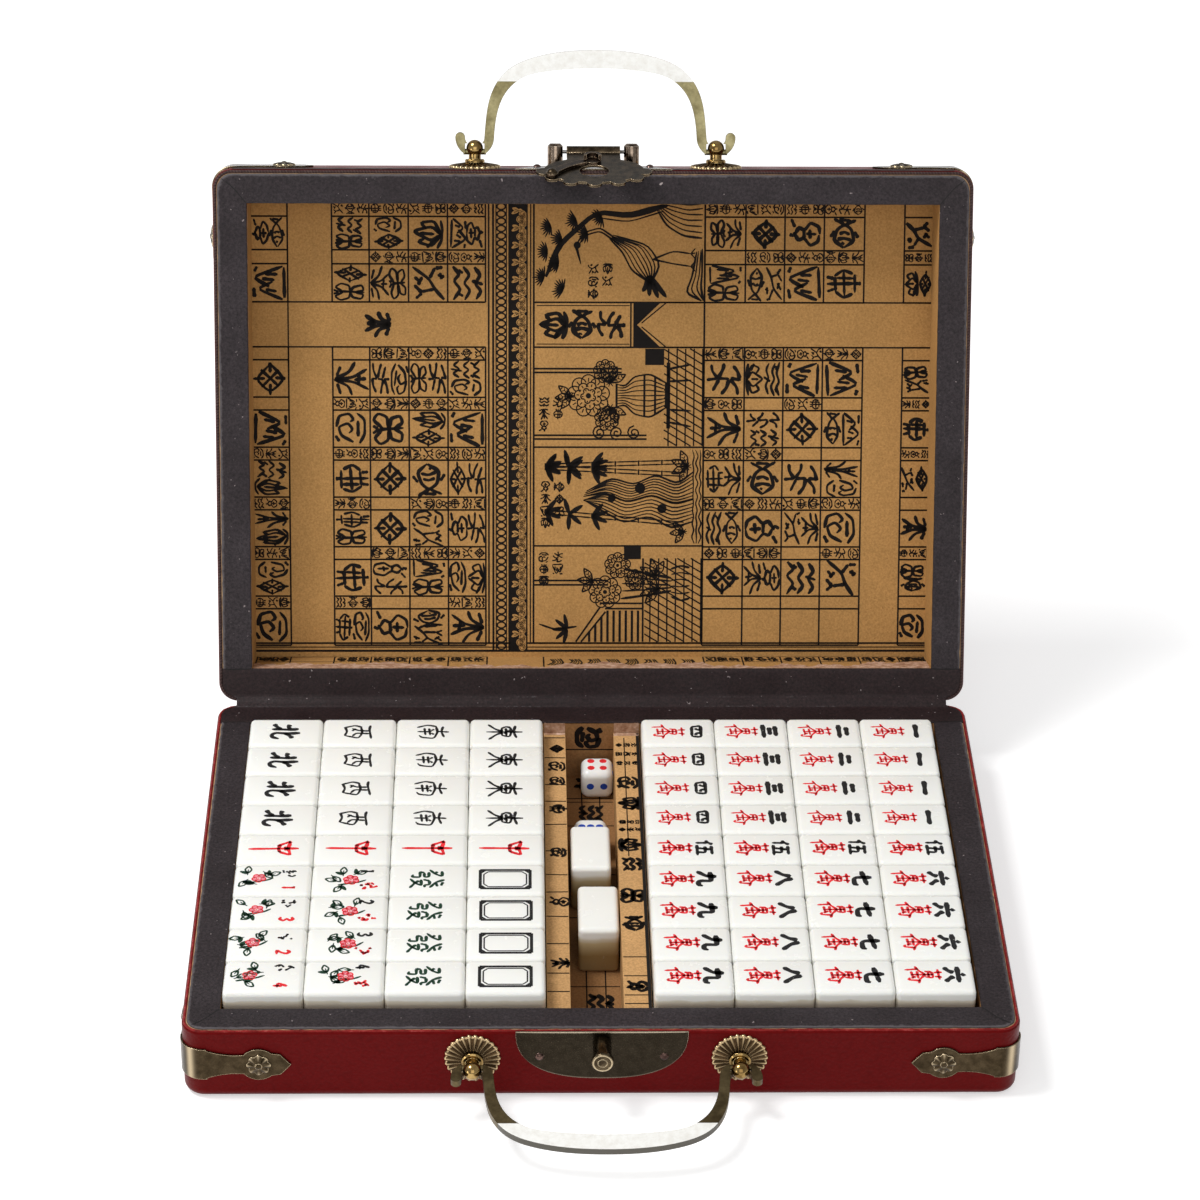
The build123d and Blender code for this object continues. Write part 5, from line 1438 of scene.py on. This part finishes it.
def channel_print():
    """Prints in the base: rules and drawings on the channel's floor and walls and on both dividers."""
    skin, worn_skin, gap, torn, wall = (Skin() for _ in range(5))
    (left_0, left_1), (right_0, right_1) = ((low[0], high[0]) for low, high in map(box, DIVIDERS))
    floor = Pen(skin, Plane((0, 0, FLOOR), RIGHT, UP))
    for y in (-67, -52, -36, -2, 20, 46, 59, 61):
        rule(floor, (left_1 + 0.2, y), (right_0 - 0.2, y), 0.45)
    for x in (-3.4, 2.2):
        rule(floor, (x, -INNER_Y + 0.2), (x, INNER_Y - 0.2), 0.4)
    for y in (-60, -44, 28, 40, 53, 68):
        motif(floor, -1 + rng.normal(0, 1), y, 9.0, stroke=1.6)
    above = Plane((0, 0, DIVIDER_TOP), RIGHT, UP)
    tops, worn = Pen(skin, above), Pen(worn_skin, above)
    for y in np.cumsum(rng.uniform(7, 15, 14)) - INNER_Y:
        if y < INNER_Y - 2:
            rule(tops, (left_0 + 0.15, y), (left_1 - 0.15, y + rng.normal(0, 0.2)), 0.5)
    for y, size in ((64, 4.8), (54, 5.6), (46, 5.0), (31, 5.4), (8, 5.0), (-17, 5.8), (-47, 5.6)):
        motif(tops, left_1 - 2.7, y, size, stroke=0.95)
    rule(tops, (right_0 + 3.2, 6), (right_0 + 3.2, INNER_Y - 3), 0.35)
    for y, size in ((45, 7.0), (34, 7.4), (12, 7.4), (2, 7.0), (-14, 7.6), (-28, 7.4), (-58, 6)):
        motif(tops, (right_0 + right_1) / 2, y, size, stroke=1.35)
    for y in (66, 61, 56, 24, 20):
        small_row(tops, right_0 + 0.3, right_1 - 0.3, y, 3.6)
    for y in (-66, -62, -53, -44):
        rule(tops, (right_0 + 0.3, y), (right_1 - 0.3, y), 0.45)
    for x0, x1, y0, y1, seed in ((left_0 + 0.1, left_1 - 0.1, INNER_Y - 1.2, INNER_Y - 0.1, 2),
            (right_0 + 0.1, right_1 - 0.1, INNER_Y - 1.8, INNER_Y - 0.1, 4),
            (left_0 + 0.1, left_0 + 2.0, 0.1 - INNER_Y, 5 - INNER_Y, 6),
            (right_0 + 0.1, right_0 + 2.2, 0.1 - INNER_Y, 3 - INNER_Y, 8)):
        worn_patch(worn, x0, x1, y0, y1, seed)
    ribbon(Pen(gap, above), [(right_1 - 0.55, -INNER_Y + 0.2), (right_1 - 0.55, INNER_Y - 0.2)], 1.0, 0.05, EVEN)
    gap.piece("divider_gap_shadow", SEAM, "base", slot="papered_wood", facing=UP)
    skin.piece("channel_print", PRINT, "base", slot="printed_paper", facing=UP)
    worn_skin.piece("divider_worn_patches", TORN, "base", slot="papered_wood", facing=UP)
    rear = Pen(torn, Plane((0, INNER_Y, 0), RIGHT, FRONT))
    for seed, a, b in ((21, left_0, left_1), (22, right_0, right_1)):
        worn_patch(rear, a + 0.1, b - 0.1, DIVIDER_TOP + 0.1, RIM - 0.35, seed)
    torn.piece("divider_wall_torn_paper", TORN, "base", slot="papered_wood", facing=FRONT)
    inner_left = Pen(wall, Plane((left_1, 0, FLOOR), (0, 1, 0), (1, 0, 0)))
    inner_right = Pen(wall, Plane((right_0, 0, FLOOR), (0, 1, 0), (-1, 0, 0)))
    back = Pen(wall, Plane((0, INNER_Y, FLOOR), RIGHT, FRONT))
    for y in np.arange(-68, 70, 11.5):
        rule(inner_left, (y, 0.5), (y, DIVIDER_TOP - FLOOR - 0.5), 0.45)
        motif(inner_left, y + 5.5, 9, 9, stroke=1.3)
        rule(inner_right, (y, -0.5), (y, FLOOR - DIVIDER_TOP + 0.5), 0.45)
    rule(back, (left_1, 10.5), (right_0, 10.5), 0.45)
    motif(back, -1.5, 15.2, 8.5, "cloud", 1.7)
    wall.piece("channel_wall_print", PRINT, "base", slot="printed_paper")


channel_print()


# ------------------------------------------------------------------ brass and bronze hardware
def rosette(skin, plane, radius, lobes, rim_height, crown, hole, flute, scallop):
    """A struck rosette: its edge is scalloped by |cos|, its face falls from the crown to the rim, and radial
    flutes as deep as `flute` run between the hub and the edge."""
    turn = np.linspace(0, TURN, lobes * 8 + 1)[:-1]
    t = np.array([0.0, 0.0, 0.08, 0.2, 0.35, 0.5, 0.65, 0.8, 0.9, 0.96, 1.0, 1.0])[:, None]
    edge = radius - scallop + scallop * np.abs(np.cos(lobes * turn / 2))
    r = hole + t * (edge[None] - hole)
    fall = np.interp(t, (0, 0.08, 0.25, 0.75, 0.96, 1), (1, 1, 0.8, 0.3, 0.06, 0)) * (crown - rim_height) + rim_height
    groove = flute * np.interp(t, (0.12, 0.3, 0.85, 1.0), (0, 1, 1, 0.4)) * np.cos(lobes * turn)[None]
    height = fall + groove
    height[0] = 0.0
    height[-2] = rim_height * 0.55
    height[-1] = 0.0
    # Painted highlight on the flute ridges and along the rim, through the sheen value.
    ridge = np.clip(np.cos(lobes * turn)[None], 0, 1) ** 3 * np.interp(t, (0.25, 0.7, 0.9, 1.0), (0, 0.5, 1, 1))
    rim_line = np.interp(t, (0.9, 0.96, 1.0), (0, 0.8, 0.4))
    skin.grid(plane.at(r * np.cos(turn), r * np.sin(turn), height), ring=True,
        rub=np.clip(0.75 * ridge + rim_line, 0, 1))


BASE_FRONT, LID_FRONT = BASE_RIM.front(), LID_RIM.front()
# Where the rosettes sit: between the posts of a handle, and from the rim or from the case's corner.
HANDLE_SPACING, HANDLE_INSET, STRAP_INSET, STRAP_BOSS = 74.8, 9.3, 11.3, 21.5
for half, front, shift in (("base", BASE_FRONT, 1.2), ("lid", LID_FRONT, -0.6)):
    plates = Skin()
    for side in (-1, 1):
        spot = front.moved(shift + side * HANDLE_SPACING / 2, -HANDLE_INSET)
        rosette(plates, spot, 8.0, lobes=26, rim_height=0.7, crown=1.7, hole=1.3, flute=0.2, scallop=0.5)
    plates.piece(f"{half}_handle_rosettes", METAL["rosette_bronze"], half, (f"{half}_rosettes",), "bronze", crease=75)

for half, rim in (("base", BASE_RIM), ("lid", LID_RIM)):
    petals = Skin()
    spots = [rim.front().moved(side * (WIDTH / 2 - STRAP_BOSS), -STRAP_INSET) for side in (-1, 1)]
    spots += [rim.side(side).moved(-side * (DEPTH / 2 - STRAP_BOSS), -STRAP_INSET) for side in (-1, 1)]
    for spot in spots:
        rosette(petals, spot.moved(0, 0, 0.55), 3.5, lobes=8, rim_height=0.35, crown=0.95, hole=0.9, flute=0.14,
            scallop=0.6)
        turn = np.linspace(0, TURN, 25)[:-1]
        tilt = np.linspace(0, math.pi / 2, 7)[:, None]
        petals.grid(spot.at(1.25 * np.cos(tilt) * np.cos(turn), 1.25 * np.cos(tilt) * np.sin(turn),
            0.9 + 0.95 * np.sin(tilt)), ring=True)
    petals.piece(f"{half}_strap_rosettes", METAL["bronze"], half, (f"{half}_strap_nails",), "bronze", crease=60)


def rounded_latch_plate():
    """The base's latch plate: straight along its top and full at its sides, the outline being
    |x/a|^2.5 + |y/d|^2.5 = 1.  Columns hang from the top edge; rows cross the thickness at both ends."""
    low, high = box("base_latch_plate")
    centre, half_width, depth = (low[0] + high[0]) / 2, (high[0] - low[0]) / 2, high[2] - low[2]
    thick = -DEPTH / 2 - low[1]
    turn = np.linspace(0, math.pi, 121)
    x = centre - half_width * np.sign(np.cos(turn)) * np.abs(np.cos(turn)) ** 0.8
    drop = depth * np.sin(turn) ** 0.8
    share = np.array([0.0, 0.0, 0.0, 0.012, 0.03, 0.2, 0.5, 0.8, 0.97, 0.99, 1.0, 1.0])[:, None]
    rise = np.array([0.0, 0.5, 0.85, 1.0, 1.0, 1.0, 1.0, 1.0, 1.0, 0.97, 0.8, 0.0])[:, None] * thick
    # Painted highlight along the plate's top edge and its foot.
    rub = np.array([0.0, 0.9, 1.0, 0.9, 0.0, 0.0, 0.0, 0.0, 0.0, 0.25, 0.4, 0.0])[:, None]
    skin = Skin()
    skin.grid(BASE_FRONT.at(x[None] + 0 * share, high[2] - RIM - share * drop[None], rise + 0 * x[None]),
        rub=rub + 0 * x[None])
    skin.piece("base_latch_plate_face", METAL["dark_bronze"], "base", ("base_latch_plate",), "dark_bronze",
        facing=BASE_FRONT.z, crease=50)


rounded_latch_plate()


def stud_rings():
    """Turned rings on the latch stud's end: half-round beads at two radii."""
    low, high = box("latch_stud")
    spot = Plane(((low[0] + high[0]) / 2, low[1] + 0.04, (low[2] + high[2]) / 2), RIGHT, FRONT)
    reach = (high[0] - low[0]) / 2
    turn = np.linspace(0, TURN, 41)[:-1]
    tilt = np.linspace(0, math.pi, 7)[:, None]
    skin = Skin()
    for share, size, shine in ((0.84, 0.26, 0.75), (0.42, 0.20, 0.25)):
        r = share * reach - size * np.cos(tilt)
        skin.grid(spot.at(r * np.cos(turn), r * np.sin(turn), 0.55 * size * np.sin(tilt) + 0 * turn), ring=True,
            rub=shine * np.sin(tilt) + 0 * turn)
    skin.piece("latch_stud_rings", METAL["stud_bronze"], "base", slot="dark_bronze")


stud_rings()


def paint_bend_highlight(strap, rim):
    """Paints a highlight on a corner strap along its bend, standing for a reflection there: exp(-(angle - 34)^2 /
    9^2) of the angle in degrees from the front face, measured about the case's corner round."""
    count = len(strap.data.vertices)
    points = np.empty(count * 3)
    strap.data.vertices.foreach_get("co", points)
    flat = points.reshape(-1, 3) / MM - rim.origin
    x = np.abs(flat @ rim.x) - (WIDTH / 2 - CORNER)
    y = -(flat @ rim.y) - (DEPTH / 2 - CORNER)
    angle = np.degrees(np.arctan2(np.maximum(x, 0), np.maximum(y, 0.01)))
    bend = 0.8 * np.exp(-(((angle - 34) / 9) ** 2)) * (x > -0.1) * (y > -0.1)
    rub = strap.data.attributes.new("rub", "FLOAT", "POINT")
    rub.data.foreach_set("value", bend)


for half, bail in (("base", BASE_BAIL), ("lid", LID_BAIL)):
    for side in ("left", "right"):
        paint_bend_highlight(softened(f"{half}_strap_{side}", METAL["bronze"], 0.16), BASE_RIM if half == "base" else LID_RIM)
    softened(f"{half}_plate_nails", METAL["nail_copper"], 0.05)
    softened(f"{half}_handle_posts", METAL["polished_brass"], 0.08)
    softened(f"{half}_bail", bail, 0.3, 3)
for node, material, bevel in (("latch_stud", METAL["stud_bronze"], 0.15),
        ("lid_latch_plate", METAL["dark_bronze"], 0.12), ("hasp_posts", METAL["hasp_post_bronze"], 0.2),
        ("hasp_flap", METAL["hasp_bronze"], 0.14), ("swing_lever", METAL["lever_bronze"], 0.2),
        ("lever_rivet", METAL["hasp_bronze"], 0.05)):
    softened(node, material, bevel)


# ------------------------------------------------------------------ floor, light and camera
def floor_material():
    """Pale floor that keeps the shadow; to the camera and in reflections it is lifted to near white."""
    r = Recipe("pale_floor", roughness=0.9, gloss=0.1)
    r.colour(r.ramp(r.noise(3, 2), (0.3, (0.82, 0.82, 0.82)), (0.7, (0.84, 0.84, 0.84))))
    path = r.tree.nodes.new("ShaderNodeLightPath")
    seen = r.math("ADD", path.outputs["Is Camera Ray"], path.outputs["Is Glossy Ray"])
    glow = r.add("Emission", {"Strength": r.math("MULTIPLY", seen, 0.45)})
    both = r.add("AddShader", {0: r.shader.outputs[0], 1: glow})
    r.tree.links.new(both, r.tree.nodes["Material Output"].inputs["Surface"])
    return r.material


ground = bpy.data.meshes.new("floor")
reach = 6.0
ground.from_pydata([(-reach, -reach, 0), (reach, -reach, 0), (reach, reach, 0), (-reach, reach, 0)], [],
    [(0, 1, 2, 3)])
ground.materials.append(floor_material())
floor = bpy.data.objects.new("floor", ground)
bpy.context.scene.collection.objects.link(floor)


# Square soft lights: name, place, the point each is aimed at, size in metres and watts.
for name, place, target, size, watts in (("overhead", (-0.60, 0.0, 1.20), (0, 0.05, 0.05), 0.45, 11.6),
        ("front_fill", (0.10, -1.35, 0.80), (0, 0.05, 0.08), 1.1, 5.1),
        ("left_strip", (-1.05, -0.75, 0.22), (0, -0.05, 0.02), 0.3, 1.3)):
    lamp = bpy.data.lights.new(name, "AREA")
    lamp.shape, lamp.size, lamp.energy = "SQUARE", size, watts
    holder = bpy.data.objects.new(name, lamp)
    holder.location = place
    holder.rotation_euler = (Vector(target) - Vector(place)).to_track_quat("-Z", "Y").to_euler()
    bpy.context.scene.collection.objects.link(holder)

world = bpy.data.worlds.new("studio")
bpy.context.scene.world = world
world.use_nodes = True
sky = world.node_tree.nodes["Background"]
sky.inputs["Color"].default_value = (1, 1, 1, 1)
sky.inputs["Strength"].default_value = 0.48

# The camera stands in front and looks down at the case.
CAMERA_AT = np.array([-24.34, -937.73, 687.52])
PITCH, YAW, ROLL = (math.radians(v) for v in (31.484, 1.481, 0.782))
FOCAL_PIXELS, FRAME_PIXELS, SENSOR = 3860.47, 1200, 36.0
ahead = np.array([math.sin(YAW) * math.cos(PITCH), math.cos(YAW) * math.cos(PITCH), -math.sin(PITCH)])
level = np.array([math.cos(YAW), -math.sin(YAW), 0])
upward = np.cross(level, ahead)
right = math.cos(ROLL) * level + math.sin(ROLL) * upward
above = -math.sin(ROLL) * level + math.cos(ROLL) * upward
lens = bpy.data.cameras.new("camera")
lens.sensor_width = SENSOR
lens.lens = FOCAL_PIXELS * SENSOR / FRAME_PIXELS
lens.clip_start = 0.01
camera = bpy.data.objects.new("camera", lens)
axes = np.stack([right, above, -ahead, CAMERA_AT * MM], 1)
camera.matrix_world = Matrix([list(row) for row in axes] + [[0, 0, 0, 1]])
bpy.context.scene.collection.objects.link(camera)
bpy.context.scene.camera = camera
bpy.context.scene.view_settings.view_transform = "Standard"
